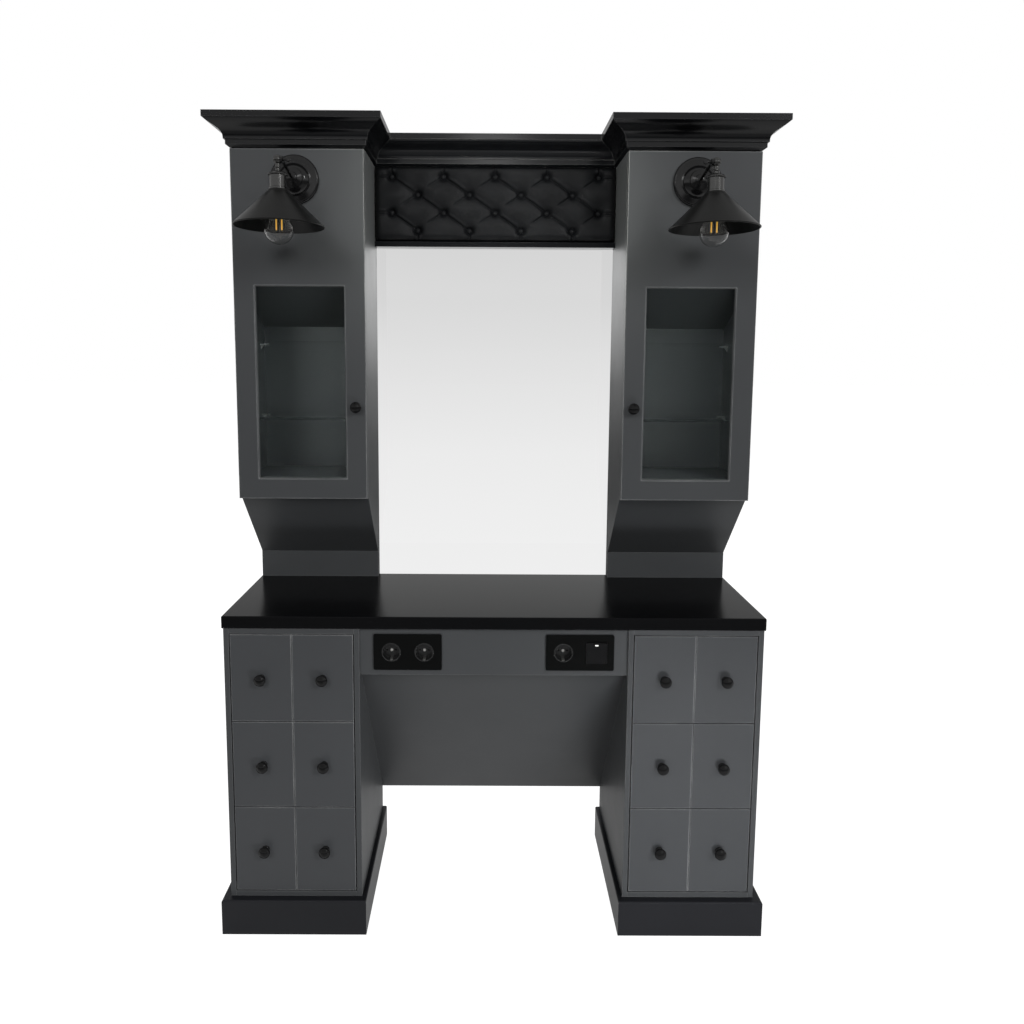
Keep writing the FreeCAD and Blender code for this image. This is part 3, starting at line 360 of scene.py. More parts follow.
def makeLeatherGrain(settings):
    # pebbled cells with pores between them, at two sizes, and a mask of the pores that is used as
    # painted shade in the grain's hollows
    tree, given, result = newGroup(
        "leatherGrain", [("Vector", "vector"), ("Scale", "number")],
        [("Height", "number"), ("Pore Shade", "number")])
    warp = tree.nodes.new("ShaderNodeTexNoise")
    feed(tree, warp.inputs["Vector"], given["Vector"])
    feed(tree, warp.inputs["Scale"],
         addMath(tree, "MULTIPLY", given["Scale"], settings["warpScale"]))
    bent = addVectorMath(tree, "MULTIPLY_ADD", warp.outputs["Color"], settings["warp"],
                         given["Vector"])
    cells = tree.nodes.new("ShaderNodeTexVoronoi")
    cells.feature = "DISTANCE_TO_EDGE"
    feed(tree, cells.inputs["Vector"], bent[0])
    feed(tree, cells.inputs["Scale"], given["Scale"])
    pebbles = addRange(tree, cells.outputs["Distance"], 0.0, settings["pebbleEdge"])
    fineScale = addMath(tree, "MULTIPLY", given["Scale"], settings["fineScale"])
    fine = addMath(tree, "MULTIPLY", addNoise(tree, given["Vector"], fineScale),
                   settings["fineShare"])
    feed(tree, result["Height"], addMath(tree, "ADD", pebbles, fine))
    feed(tree, result["Pore Shade"], addMath(tree, "SUBTRACT", 1.0, pebbles))
    return tree


paintFilm = makePaintFilm(filmSettings)
paintedEdgeHighlight = makePaintedEdgeHighlight(edgeHighlightSettings)
leatherGrain = makeLeatherGrain(grainSettings)


# finishes of the painted and plastic pieces
# each look's "edge" colour is a painted highlight, lighter than the finish, laid along its corners
boardLook = {
    "colour": (0.050, 0.0525, 0.055), "toneSpread": 0.05, "roughness": 0.42,
    "glossSpread": 0.12, "patchScale": 3.0, "rippleScale": 420.0, "ripple": 0.00004,
    "specular": 0.34, "edge": (0.155, 0.158, 0.158), "highlightRadius": 0.0022,
    "highlightAmount": 0.75}
blackLook = {
    "colour": (0.0018, 0.0020, 0.0026), "toneSpread": 0.10, "roughness": 0.30,
    "glossSpread": 0.06, "patchScale": 4.0, "rippleScale": 420.0, "ripple": 0.00002,
    "specular": 0.15, "edge": (0.04, 0.04, 0.044), "highlightRadius": 0.0016,
    "highlightAmount": 0.7}
plasticLook = {
    "colour": (0.0022, 0.0024, 0.0024), "toneSpread": 0.08, "roughness": 0.30,
    "glossSpread": 0.06, "patchScale": 30.0, "rippleScale": 2500.0, "ripple": 0.00001,
    "specular": 0.12, "edge": (0.03, 0.03, 0.03), "highlightRadius": 0.0005,
    "highlightAmount": 0.4}
finishLooks = {
    "anthraciteLacquer": boardLook,
    # doors and drawer fronts get a stronger painted highlight along their edges
    "doorLacquer": dict(boardLook, edge=(0.30, 0.305, 0.305), highlightRadius=0.0036,
                        highlightAmount=0.95),
    "drawerLacquer": dict(boardLook, colour=(0.052, 0.0545, 0.058), edge=(0.34, 0.345, 0.345),
                          highlightRadius=0.0026, highlightAmount=0.9),
    "plinthLacquer": dict(blackLook, colour=(0.0110, 0.0115, 0.0138), toneSpread=0.08,
                          roughness=0.32, glossSpread=0.08, ripple=0.00003, specular=0.24,
                          edge=(0.09, 0.09, 0.095)),
    "trimLacquer": blackLook,
    "blackLacquer": dict(blackLook, colour=(0.0018, 0.0020, 0.0025), roughness=0.21,
                         specular=0.42, edge=(0.085, 0.085, 0.088)),
    "countertopLaminate": {
        "colour": (0.0022, 0.0023, 0.0027), "toneSpread": 0.10, "roughness": 0.20,
        "glossSpread": 0.06, "patchScale": 5.0, "rippleScale": 700.0, "ripple": 0.00001,
        "specular": 0.15, "edge": (0.012, 0.012, 0.013), "highlightRadius": 0.0012,
        "highlightAmount": 0.5},
    "drawerMelamine": {
        "colour": (0.12, 0.12, 0.12), "toneSpread": 0.06, "roughness": 0.55,
        "glossSpread": 0.10, "patchScale": 14.0, "rippleScale": 900.0, "ripple": 0.00003,
        "specular": 0.3, "edge": (0.18, 0.18, 0.18), "highlightRadius": 0.0008,
        "highlightAmount": 0.3},
    "knobEnamel": {
        "colour": (0.0018, 0.0018, 0.0020), "toneSpread": 0.10, "roughness": 0.13,
        "glossSpread": 0.06, "patchScale": 30.0, "rippleScale": 900.0, "ripple": 0.00001,
        "specular": 0.30, "edge": (0.01, 0.01, 0.01), "highlightRadius": 0.0004,
        "highlightAmount": 0.3},
    "socketPlastic": plasticLook,
    # the inserts' recess rims carry a strong painted highlight, for the bright arc in each recess
    "insertPlastic": dict(plasticLook, colour=(0.0080, 0.0082, 0.0084), roughness=0.26,
                          specular=0.55, edge=(0.16, 0.16, 0.16), highlightRadius=0.0006,
                          highlightAmount=0.7),
    "rockerPlastic": dict(plasticLook, colour=(0.0045, 0.0046, 0.0050), roughness=0.34,
                          specular=0.18, edge=(0.04, 0.04, 0.04), highlightRadius=0.0006,
                          highlightAmount=0.5),
    "shadeEnamel": {
        "colour": (0.0030, 0.0031, 0.0028), "toneSpread": 0.12, "roughness": 0.33,
        "glossSpread": 0.10, "patchScale": 18.0, "rippleScale": 1200.0, "ripple": 0.00002,
        "specular": 0.28, "edge": (0.05, 0.05, 0.05), "highlightRadius": 0.0005,
        "highlightAmount": 0.4},
    "bracketEnamel": {
        "colour": (0.0045, 0.0045, 0.0048), "toneSpread": 0.12, "roughness": 0.16,
        "glossSpread": 0.08, "patchScale": 25.0, "rippleScale": 900.0, "ripple": 0.00001,
        "specular": 0.5, "edge": (0.04, 0.04, 0.04), "highlightRadius": 0.0006,
        "highlightAmount": 0.5},
}


def placeFilm(tree, place, look):
    return placeGroup(tree, paintFilm, {
        "Vector": place, "Colour": look["colour"], "Tone Spread": look["toneSpread"],
        "Roughness": look["roughness"], "Gloss Spread": look["glossSpread"],
        "Patch Scale": look["patchScale"], "Ripple Scale": look["rippleScale"]})


def paintMaterial(name, look):
    material, tree, surface = newMaterial(name)
    place = objectCoords(tree)
    film = placeFilm(tree, place, look)
    highlight = placeGroup(tree, paintedEdgeHighlight, {
        "Vector": place, "Radius": look["highlightRadius"],
        "Break Scale": edgeHighlightSettings["breakScale"]})
    # painted highlight: the light edge colour is mixed in along the corners
    amount = addMath(tree, "MULTIPLY", highlight["Mask"], look["highlightAmount"])
    feed(tree, surface.inputs["Base Color"], addMix(tree, amount, film["Colour"], look["edge"]))
    feed(tree, surface.inputs["Roughness"], film["Roughness"])
    feed(tree, surface.inputs["Normal"], addBump(tree, film["Height"], look["ripple"]))
    surface.inputs["Specular IOR Level"].default_value = look["specular"]
    return material


metalBase = {"toneSpread": 0.12, "glossSpread": 0.14, "patchScale": 22.0, "ripple": 0.00002}
metalLooks = {
    "hingeSteel": dict(metalBase, colour=(0.28, 0.28, 0.29), roughness=0.32, rippleScale=300.0),
    "contactNickel": dict(metalBase, colour=(0.86, 0.85, 0.82), roughness=0.34,
                          rippleScale=500.0),
    "supportMetal": dict(metalBase, colour=(0.42, 0.43, 0.43), roughness=0.35,
                         rippleScale=300.0),
}
# the knurled collar above each shade: where its band starts and ends, and the ridges around it
holderLook = dict(metalBase, colour=(0.105, 0.105, 0.103), roughness=0.25, rippleScale=260.0,
                  bandStart=0.004, bandEnd=0.027, ridges=48, ridgeDepth=0.0005)


def knurlHeight(tree, place, look, side):
    # upright ridges around the bulb's axis, only in the collar's band
    low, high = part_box(f"{side}_lamp_holder")
    bulbLow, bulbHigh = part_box(f"{side}_lamp_bulb")
    split = splitPlace(tree, place)
    aside = addMath(tree, "SUBTRACT", split["X"], (low[0] + high[0]) / 2)
    ahead = addMath(tree, "SUBTRACT", split["Y"], (bulbLow[1] + bulbHigh[1]) / 2)
    angle = addMath(tree, "ARCTAN2", ahead, aside)
    ridges = addMath(tree, "SINE", addMath(tree, "MULTIPLY", angle, look["ridges"]))
    above = addMath(tree, "GREATER_THAN", split["Z"], low[2] + look["bandStart"])
    below = addMath(tree, "LESS_THAN", split["Z"], low[2] + look["bandEnd"])
    return addMath(tree, "MULTIPLY", ridges, addMath(tree, "MULTIPLY", above, below))


def metalMaterial(name, look, knurledSide=None):
    material, tree, surface = newMaterial(name)
    place = objectCoords(tree)
    film = placeFilm(tree, place, look)
    feed(tree, surface.inputs["Base Color"], film["Colour"])
    feed(tree, surface.inputs["Roughness"], film["Roughness"])
    fine = addBump(tree, film["Height"], look["ripple"])
    if knurledSide:
        fine = addBump(tree, knurlHeight(tree, place, look, knurledSide), look["ridgeDepth"],
                       fine)
    feed(tree, surface.inputs["Normal"], fine)
    surface.inputs["Metallic"].default_value = 1.0
    return material


# waxed hardwood of the runners: long grain along the drawer's travel
woodSettings = {
    "stretch": (90.0, 4.0, 90.0), "grainBand": (0.3, 0.7), "grainDepth": 0.0001,
    "dark": (0.22, 0.13, 0.06), "light": (0.42, 0.28, 0.15), "roughness": (0.5, 0.38),
}


def woodMaterial(name, settings):
    material, tree, surface = newMaterial(name)
    stretch = tree.nodes.new("ShaderNodeMapping")
    stretch.inputs["Scale"].default_value = settings["stretch"]
    feed(tree, stretch.inputs["Vector"], objectCoords(tree))
    grain = addNoise(tree, stretch.outputs[0], 1.0, 6.0, 0.65)
    feed(tree, surface.inputs["Base Color"],
         addMix(tree, addRange(tree, grain, *settings["grainBand"]), settings["dark"],
                settings["light"]))
    feed(tree, surface.inputs["Roughness"],
         addRange(tree, grain, *settings["grainBand"], *settings["roughness"]))
    feed(tree, surface.inputs["Normal"], addBump(tree, grain, settings["grainDepth"]))
    return material


leatherSettings = {
    # the darker colour of the dull patches, which also paints shade into the grain's pores
    "colour": (0.0035, 0.0038, 0.0044), "dullPatchAndPoreShadeColour": (0.0016, 0.0017, 0.0021),
    "roughness": (0.42, 0.29),       # in the dull patches and in the rubbed ones
    "specular": 0.32, "patchScale": 16.0, "patchBand": (0.35, 0.7), "poreShadeShare": 0.6,
    "grainScale": 620.0, "grainDepth": 0.00009,
}


def leatherMaterial(name, settings):
    material, tree, surface = newMaterial(name)
    place = objectCoords(tree)
    grain = placeGroup(tree, leatherGrain, {"Vector": place, "Scale": settings["grainScale"]})
    wornPatches = addRange(tree, addNoise(tree, place, settings["patchScale"], 4.0),
                           *settings["patchBand"])
    base = addMix(tree, wornPatches, settings["dullPatchAndPoreShadeColour"], settings["colour"])
    # painted shade: the pores between the pebbles are darkened towards the darker colour
    poreShade = addMath(tree, "MULTIPLY", grain["Pore Shade"], settings["poreShadeShare"])
    feed(tree, surface.inputs["Base Color"],
         addMix(tree, poreShade, base, settings["dullPatchAndPoreShadeColour"]))
    feed(tree, surface.inputs["Roughness"],
         addRange(tree, wornPatches, 0.0, 1.0, *settings["roughness"]))
    feed(tree, surface.inputs["Normal"],
         addBump(tree, grain["Height"], settings["grainDepth"]))
    surface.inputs["Specular IOR Level"].default_value = settings["specular"]
    return material


# painted reflection: for the camera the mirror glows with a soft fade, lighter towards the
# countertop, in place of showing the pale room
mirrorSettings = {
    "silver": (0.93, 0.94, 0.935), "seenSilver": (0.05, 0.05, 0.05), "wornShare": 0.985,
    "roughness": (0.012, 0.02),      # where the glass is clean and where it is smeared
    "smearScale": 6.0, "wornBand": (0.4, 0.8), "smearBand": (0.45, 0.8),
    # fade: the mirror's painted reflection, glowing tones from its foot to its top
    "fade": ((0.0, 0.856), (0.38, 0.828), (0.69, 0.740), (0.84, 0.666), (1.0, 0.632)),
    "paintedSideSheen": ((0.0, 0.085), (0.12, 0.085), (0.24, 0.02), (0.42, 0.08), (0.60, 0.26),
                 (0.76, 0.72), (0.92, 1.0)),
    "paintedSideSheenMost": 2.5,
}


def mirrorMaterial(name, settings):
    material, tree, surface = newMaterial(name)
    place = objectCoords(tree)
    smears = addNoise(tree, place, settings["smearScale"], 5.0, 0.6)
    seen = lightPathFor(tree, "Is Camera Ray")
    worn = addMix(tree, addRange(tree, smears, *settings["wornBand"]), settings["silver"],
                  scaled(settings["silver"], settings["wornShare"]))
    feed(tree, surface.inputs["Base Color"], addMix(tree, seen, worn, settings["seenSilver"]))
    feed(tree, surface.inputs["Roughness"],
         addRange(tree, smears, *settings["smearBand"], *settings["roughness"]))
    surface.inputs["Metallic"].default_value = 1.0
    low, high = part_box("mirror_glass")
    rise = addRange(tree, splitPlace(tree, place)["Z"], low[2], high[2])
    # painted reflection: the fade is the mirror's glow for camera rays
    fade = addRamp(tree, rise, settings["fade"])
    feed(tree, surface.inputs["Emission Color"], fade)
    # painted reflection: for glossy rays the mirror glows, more in its upper part than its middle,
    # which the boards beside it pick up as a painted sheen
    glow = addMath(tree, "MULTIPLY", addRamp(tree, rise, settings["paintedSideSheen"]),
                   settings["paintedSideSheenMost"])
    paintedSheenForGloss = addMath(tree, "MULTIPLY", glow, lightPathFor(tree, "Is Glossy Ray"))
    feed(tree, surface.inputs["Emission Strength"], addMath(tree, "MAXIMUM", seen, paintedSheenForGloss))
    return material


glassLooks = {
    "floatGlass": {"tint": (0.93, 0.965, 0.955), "ior": 1.10, "roughness": 0.004},
    "shelfGlass": {"tint": (0.985, 0.995, 0.99), "ior": 1.02, "roughness": 0.004},
    "bulbGlass": {"tint": (0.985, 0.98, 0.97), "ior": 1.18, "roughness": 0.0},
}
glowLooks = {
    "amberFilament": {"colour": (0.75, 0.45, 0.08), "glow": (1.0, 0.55, 0.08), "strength": 0.5},
    "switchLensGlow": {"colour": (0.85, 0.86, 0.85), "glow": (1.0, 1.0, 0.97),
                       "strength": 0.8},
}
# faint mottling of clear glass, and of a glowing surface
mottleSettings = {
    "glassScale": 5.0, "glassBand": (0.4, 0.6), "glassShare": 0.99,
    "glowScale": 900.0, "glowBand": (0.35, 0.65), "colourShare": 0.8, "glowShare": 0.85,
    "glowRoughness": 0.35,
}


def glassMaterial(name, look, settings):
    # lamps shine through it, and the eye sees its gloss
    material, tree, surface = newMaterial(name)
    mottle = addRange(tree, addNoise(tree, objectCoords(tree), settings["glassScale"], 2.0),
                      *settings["glassBand"])
    feed(tree, surface.inputs["Base Color"],
         addMix(tree, mottle, look["tint"], scaled(look["tint"], settings["glassShare"])))
    surface.inputs["Roughness"].default_value = look["roughness"]
    surface.inputs["IOR"].default_value = look["ior"]
    surface.inputs["Transmission Weight"].default_value = 1.0
    clear = tree.nodes.new("ShaderNodeBsdfTransparent")
    clear.inputs["Color"].default_value = (*look["tint"], 1)
    mixed = tree.nodes.new("ShaderNodeMixShader")
    feed(tree, mixed.inputs[0], lightPathFor(tree, "Is Shadow Ray", "Is Diffuse Ray"))
    tree.links.new(surface.outputs[0], mixed.inputs[1])
    tree.links.new(clear.outputs[0], mixed.inputs[2])
    tree.links.new(mixed.outputs[0], tree.nodes["Material Output"].inputs["Surface"])
    return material


def glowMaterial(name, look, settings):
    # a small lens or filament coat that glows a little
    material, tree, surface = newMaterial(name)
    mottle = addRange(tree, addNoise(tree, objectCoords(tree), settings["glowScale"], 2.0),
                      *settings["glowBand"])
    feed(tree, surface.inputs["Base Color"],
         addMix(tree, mottle, look["colour"], scaled(look["colour"], settings["colourShare"])))
    feed(tree, surface.inputs["Emission Color"],
         addMix(tree, mottle, look["glow"], scaled(look["glow"], settings["glowShare"])))
    surface.inputs["Emission Strength"].default_value = look["strength"]
    surface.inputs["Roughness"].default_value = settings["glowRoughness"]
    return material


paints = {name: paintMaterial(name, look) for name, look in finishLooks.items()}
metals = {name: metalMaterial(name, look) for name, look in metalLooks.items()}
glasses = {name: glassMaterial(name, look, mottleSettings) for name, look in glassLooks.items()}
glows = {name: glowMaterial(name, look, mottleSettings) for name, look in glowLooks.items()}
leather = leatherMaterial("blackLeatherette", leatherSettings)
silver = mirrorMaterial("silveredGlass", mirrorSettings)
wood = woodMaterial("waxedBeech", woodSettings)


def finishNodes(material, *names):
    for name in names:
        for slot in nodes[name].material_slots:
            slot.material = material


def both(part):
    return [f"{side}_{part}" for side in sides]


def perDrawer(part):
    return [f"{side}_drawer_{number}_{part}" for side in sides for number in (1, 2, 3)]


finishNodes(paints["anthraciteLacquer"], "pedestal_side_panels", "pedestal_decks",
            "pedestal_backs", "apron", "modesty_panel", "column_side_panels",
            "column_foot_boards", "column_cross_boards", "upper_back_board")
finishNodes(paints["doorLacquer"], *both("door"))
finishNodes(paints["drawerLacquer"], *perDrawer("front"))
finishNodes(paints["blackLacquer"], "crown_mouldings")
finishNodes(paints["plinthLacquer"], "plinth_frames")
finishNodes(paints["trimLacquer"], "pad_trim_bar")
finishNodes(paints["countertopLaminate"], "countertop")
finishNodes(paints["drawerMelamine"], *perDrawer("box"))
finishNodes(wood, "drawer_runners")
finishNodes(paints["knobEnamel"], *perDrawer("knobs"), *both("door_knob"))
finishNodes(paints["socketPlastic"], "socket_plates")
finishNodes(paints["insertPlastic"], "socket_inserts")
finishNodes(paints["rockerPlastic"], "rocker_switch")
finishNodes(metals["contactNickel"], "socket_contacts")
finishNodes(silver, "mirror_glass")
finishNodes(leather, "pad_buttons")
finishNodes(glasses["floatGlass"], *both("door_glass"))
finishNodes(glasses["shelfGlass"], "glass_shelves")
finishNodes(metals["supportMetal"], "shelf_supports")
finishNodes(metals["hingeSteel"], "door_hinge_fixed_leaves", *both("door_hinge_leaves"))
finishNodes(paints["bracketEnamel"], *both("lamp_bracket"), *both("lamp_thumbscrew"))
finishNodes(paints["shadeEnamel"], *both("lamp_shade"))
for side in sides:
    finishNodes(metalMaterial(f"{side}KnurledNickel", holderLook, side), f"{side}_lamp_holder")
finishNodes(glasses["bulbGlass"], *both("lamp_bulb"))
print("finishes placed")


# tufted pad: leatherette pulled down at the buttons, with a pleat from each to the next
padSettings = {
    "buttonRadius": 0.007, "columns": 9, "rows": 4,
    "divisions": 18, "gather": 0.62, "mergeGap": 0.0004,
    "edgeRoll": 0.015, "frontGap": 0.001, "backGap": 0.0006, "backDepth": 0.004,
    "pitDepth": 0.0125, "pitWidth": 0.0098,
    "bowlDepth": 0.0038, "bowlWidth": 0.027,
    "valleyDepth": 0.0026, "valleyWidth": 0.011,
    "creaseDepth": 0.0034, "creaseWidth": 0.0018, "creaseSpread": (0.8, 1.15),
    "foldRise": 0.0017, "foldAside": 0.0043, "foldWidth": 0.0027,
    # where a pleat starts and ends between two buttons, as shares of its way, and its strength
    "fallingPleat": (0.10, 0.93, 1.0), "risingPleat": (0.38, 0.93, 0.62), "pleatFade": 0.10,
    "edgePleat": (0.22, 0.90), "edgePleatFade": 0.2,
    "edgePleatDepth": 0.0030, "edgePleatWidth": 0.0022,
    "edgeFoldAside": 0.0052, "edgeFoldWidth": 0.0026, "edgeFoldShare": 0.6,
    "edgeCuts": (-0.009, -0.0052, -0.0025, 0.0, 0.0025, 0.0052, 0.009),
    "edgeCutStart": 0.004, "edgeCutReach": 0.016,
    "clothQuality": 4, "pressure": 4.0, "spareCloth": 0.02, "frames": 20,
    "heldRadius": 0.011, "heldPleat": 0.55, "heldPleatWidth": 0.002,
    "mostMove": 0.005, "easing": 9, "subdivisions": 1, "fill": 0.7, "seed": 7,
}


class TuftedLattice:
    # a counts the falling pleats and b the rising ones, and buttons sit where both are whole
    def __init__(self, settings):
        low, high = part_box("pad_buttons")
        edge = settings["buttonRadius"]
        self.pitchX = (high[0] - low[0] - 2 * edge) / (settings["columns"] - 1)
        self.pitchZ = (high[2] - low[2] - 2 * edge) / (settings["rows"] - 1)
        self.middleX = (low[0] + high[0]) / 2
        self.startZ = low[2] + edge - self.pitchZ
        self.span = 2 * self.pitchX * self.pitchZ / math.hypot(self.pitchX, self.pitchZ)
        half = settings["columns"] // 2
        rows = range(1, settings["rows"] + 1)
        self.spots = {(column, row) for column in range(-half, half + 1) for row in rows
                      if (column + row) % 2 == 0}

    def place(self, a, b):
        return self.middleX + (a + b) * self.pitchX, self.startZ + (a - b) * self.pitchZ

    def counts(self, x, z):
        column = (x - self.middleX) / self.pitchX
        row = (z - self.startZ) / self.pitchZ
        return (column + row) / 2, (column - row) / 2

    def buttons(self):
        for column, row in sorted(self.spots):
            yield column, row, self.middleX + column * self.pitchX, self.startZ + row * self.pitchZ

    def toButton(self, x, z):
        return min(math.hypot(x - spotX, z - spotZ) for _, _, spotX, spotZ in self.buttons())

    def joined(self, a, b, nextA, nextB):
        ends = {(a + b, a - b), (nextA + nextB, nextA - nextB)}
        return ends <= self.spots


def bell(value, width):
    return math.exp(-(value / width) ** 2)


def fadeIn(value, start, end, soft):
    # 1 between start and end, falling to 0 at both
    rise = min(max((value - start) / soft, 0.0), 1.0)
    fall = min(max((end - value) / soft, 0.0), 1.0)
    return rise * rise * (3 - 2 * rise) * fall * fall * (3 - 2 * fall)


def pleatsAt(settings, lattice, x, z):
    # distance across, strength and name of the falling and the rising pleat nearest to a point
    a, b = lattice.counts(x, z)
    wholeA, wholeB = round(a), round(b)
    cellA, cellB = math.floor(a), math.floor(b)
    fade = settings["pleatFade"]
    found = []
    if lattice.joined(wholeA, cellB, wholeA, cellB + 1):
        start, end, strength = settings["fallingPleat"]
        found.append(((a - wholeA) * lattice.span,
                      strength * fadeIn(b - cellB, start, end, fade), (wholeA, cellB)))
    if lattice.joined(cellA, wholeB, cellA + 1, wholeB):
        start, end, strength = settings["risingPleat"]
        found.append(((wholeB - b) * lattice.span,
                      strength * fadeIn(a - cellA, start, end, fade), (cellA, wholeB)))
    return found


def softSink(settings, lattice, edges, x, z):
    # how far the plump surface lies behind its foremost plane
    lowX, highX, lowZ, highZ = edges
    roll = settings["edgeRoll"]
    nearX = max(roll - min(x - lowX, highX - x), 0.0)
    nearZ = max(roll - min(z - lowZ, highZ - z), 0.0)
    sink = roll - math.sqrt(max(roll * roll - nearX * nearX - nearZ * nearZ, 0.0))
    sink += settings["bowlDepth"] * bell(lattice.toButton(x, z), settings["bowlWidth"])
    for across, strength, _ in pleatsAt(settings, lattice, x, z):
        sink += settings["valleyDepth"] * strength * bell(across, settings["valleyWidth"])
    return sink


def pitSink(settings, nearest):
    return settings["pitDepth"] * math.exp(-(nearest / settings["pitWidth"]) ** 3)


def padSheet(settings, lattice, edges, front, back):
    # a square grid turned onto the diamonds, gathered towards the pleats and cut to the board
    shape = bmesh.new()
    cells = settings["columns"] - 1
    bmesh.ops.create_grid(shape, x_segments=cells * settings["divisions"],
                          y_segments=cells * settings["divisions"], size=cells / 2)
    full = 2 * math.pi
    for vert in shape.verts:
        across, up = vert.co.x + 1, vert.co.y - 1
        a = across - settings["gather"] * math.sin(full * across) / full
        b = up - settings["gather"] * math.sin(full * up) / full
        x, z = lattice.place(a, b)
        vert.co = (x, front, z)
    lowX, highX, lowZ, highZ = edges
    cuts = (((lowX, 0, 0), (-1, 0, 0)), ((highX, 0, 0), (1, 0, 0)),
            ((0, 0, lowZ), (0, 0, -1)), ((0, 0, highZ), (0, 0, 1)))
    for point, outward in cuts:
        geometry = shape.verts[:] + shape.edges[:] + shape.faces[:]
        bmesh.ops.bisect_plane(shape, geom=geometry, dist=1e-6, plane_co=point,
                               plane_no=outward, clear_outer=True)
    cutEdgePleats(settings, lattice, shape)
    bmesh.ops.remove_doubles(shape, verts=shape.verts, dist=settings["mergeGap"])
    for vert in shape.verts:
        vert.co.y = front + softSink(settings, lattice, edges, vert.co.x, vert.co.z)
    rim = [edge for edge in shape.edges if edge.is_boundary]
    wall = bmesh.ops.extrude_edge_only(shape, edges=rim)["geom"]
    for vert in (part for part in wall if isinstance(part, bmesh.types.BMVert)):
        vert.co.y = back
    bmesh.ops.recalc_face_normals(shape, faces=shape.faces)
    middle = min(shape.faces, key=lambda face: face.calc_center_median().y)
    if middle.normal.y > 0:
        bmesh.ops.reverse_faces(shape, faces=shape.faces)
    return shape


def edgePleats(settings, lattice):
    # short pleats from the outer buttons square to the nearest edge
    last = settings["columns"] // 2
    for column, row, x, z in lattice.buttons():
        if row == settings["rows"]:
            yield x, z, 0, 1
        if row == 1:
            yield x, z, 0, -1
        if abs(column) == last:
            yield x, z, 1 if column > 0 else -1, 0


def cutEdgePleats(settings, lattice, shape):
    # a row of cuts on each edge pleat, so that its folds have points to follow
    for x, z, alongX, alongZ in edgePleats(settings, lattice):
        normal = (1, 0, 0) if alongZ else (0, 0, 1)
        for step in settings["edgeCuts"]:
            point = (x + step, 0, z) if alongZ else (x, 0, z + step)
            near = []
            for face in shape.faces:
                centre = face.calc_center_median()
                ahead = (centre.x - x) * alongX + (centre.z - z) * alongZ
                aside = centre.x - x if alongZ else centre.z - z
                if ahead > settings["edgeCutStart"] and abs(aside) < settings["edgeCutReach"]:
                    near.append(face)
            parts = set(near)
            for face in near:
                parts.update(face.edges)
                parts.update(face.verts)
            bmesh.ops.bisect_plane(shape, geom=list(parts), dist=1e-6, plane_co=point,
                                   plane_no=normal)


def easedMoves(mesh, moves, fixed):
    # each point takes the mean of its own move and its neighbours', which smooths small crumples
    sums = [move.copy() for move in moves]
    counts = [1] * len(moves)
    for edge in mesh.edges:
        first, second = edge.vertices
        sums[first] += moves[second]
        sums[second] += moves[first]
        counts[first] += 1
        counts[second] += 1
    return [Vector() if number in fixed else total / count
            for number, (total, count) in enumerate(zip(sums, counts))]


def inflate(piece, settings, lattice, back):
    # the cloth swells between its buttons, its pleats and the board behind
    rest = [vert.co.copy() for vert in piece.data.vertices]
    pins = piece.vertex_groups.new(name="held")
    fixed = set()
    for number, place in enumerate(rest):
        held = 0.0
        if (place.y > back - settings["backDepth"]
                or lattice.toButton(place.x, place.z) < settings["heldRadius"]):
            held = 1.0
            fixed.add(number)
        for across, strength, _ in pleatsAt(settings, lattice, place.x, place.z):
            held = max(held, settings["heldPleat"] * strength
                       * bell(across, settings["heldPleatWidth"]))
        pins.add([number], held, "REPLACE")
    cloth = piece.modifiers.new("swell", "CLOTH")
    cloth.settings.quality = settings["clothQuality"]
    cloth.settings.use_pressure = True
    cloth.settings.uniform_pressure_force = settings["pressure"]
    cloth.settings.vertex_group_mass = "held"
    cloth.settings.shrink_min = -settings["spareCloth"]
    cloth.settings.effector_weights.gravity = 0
    cloth.point_cache.frame_end = settings["frames"]
    scene = bpy.context.scene
    for frameNumber in range(1, settings["frames"] + 1):
        scene.frame_set(frameNumber)
    swollen = bpy.data.meshes.new_from_object(
        piece.evaluated_get(bpy.context.evaluated_depsgraph_get()))
    piece.modifiers.clear()
    scene.frame_set(1)
    moves = [vert.co - place for vert, place in zip(swollen.vertices, rest)]
    bpy.data.meshes.remove(swollen)
    for _ in range(settings["easing"]):
        moves = easedMoves(piece.data, moves, fixed)
    for vert, place, move in zip(piece.data.vertices, rest, moves):
        if move.length > settings["mostMove"]:
            move *= settings["mostMove"] / move.length
        vert.co = place + move


def edgePleatSink(settings, lattice, edges, x, z):
    # the short pleats' creases, each with a fold on both sides
    lowX, highX, lowZ, highZ = edges
    sink = 0.0
    for spotX, spotZ, alongX, alongZ in edgePleats(settings, lattice):
        ahead = (x - spotX) * alongX + (z - spotZ) * alongZ
        if alongZ:
            aside, room = x - spotX, (highZ if alongZ > 0 else lowZ) - spotZ
        else:
            aside, room = z - spotZ, (highX if alongX > 0 else lowX) - spotX
        strength = fadeIn(ahead / abs(room), *settings["edgePleat"], settings["edgePleatFade"])
        crease = bell(aside, settings["edgePleatWidth"])
        folds = sum(bell(aside - way * settings["edgeFoldAside"], settings["edgeFoldWidth"])
                    for way in (-1, 1))
        sink += (strength * settings["edgePleatDepth"]
                 * (crease - settings["edgeFoldShare"] * folds))
    return sink


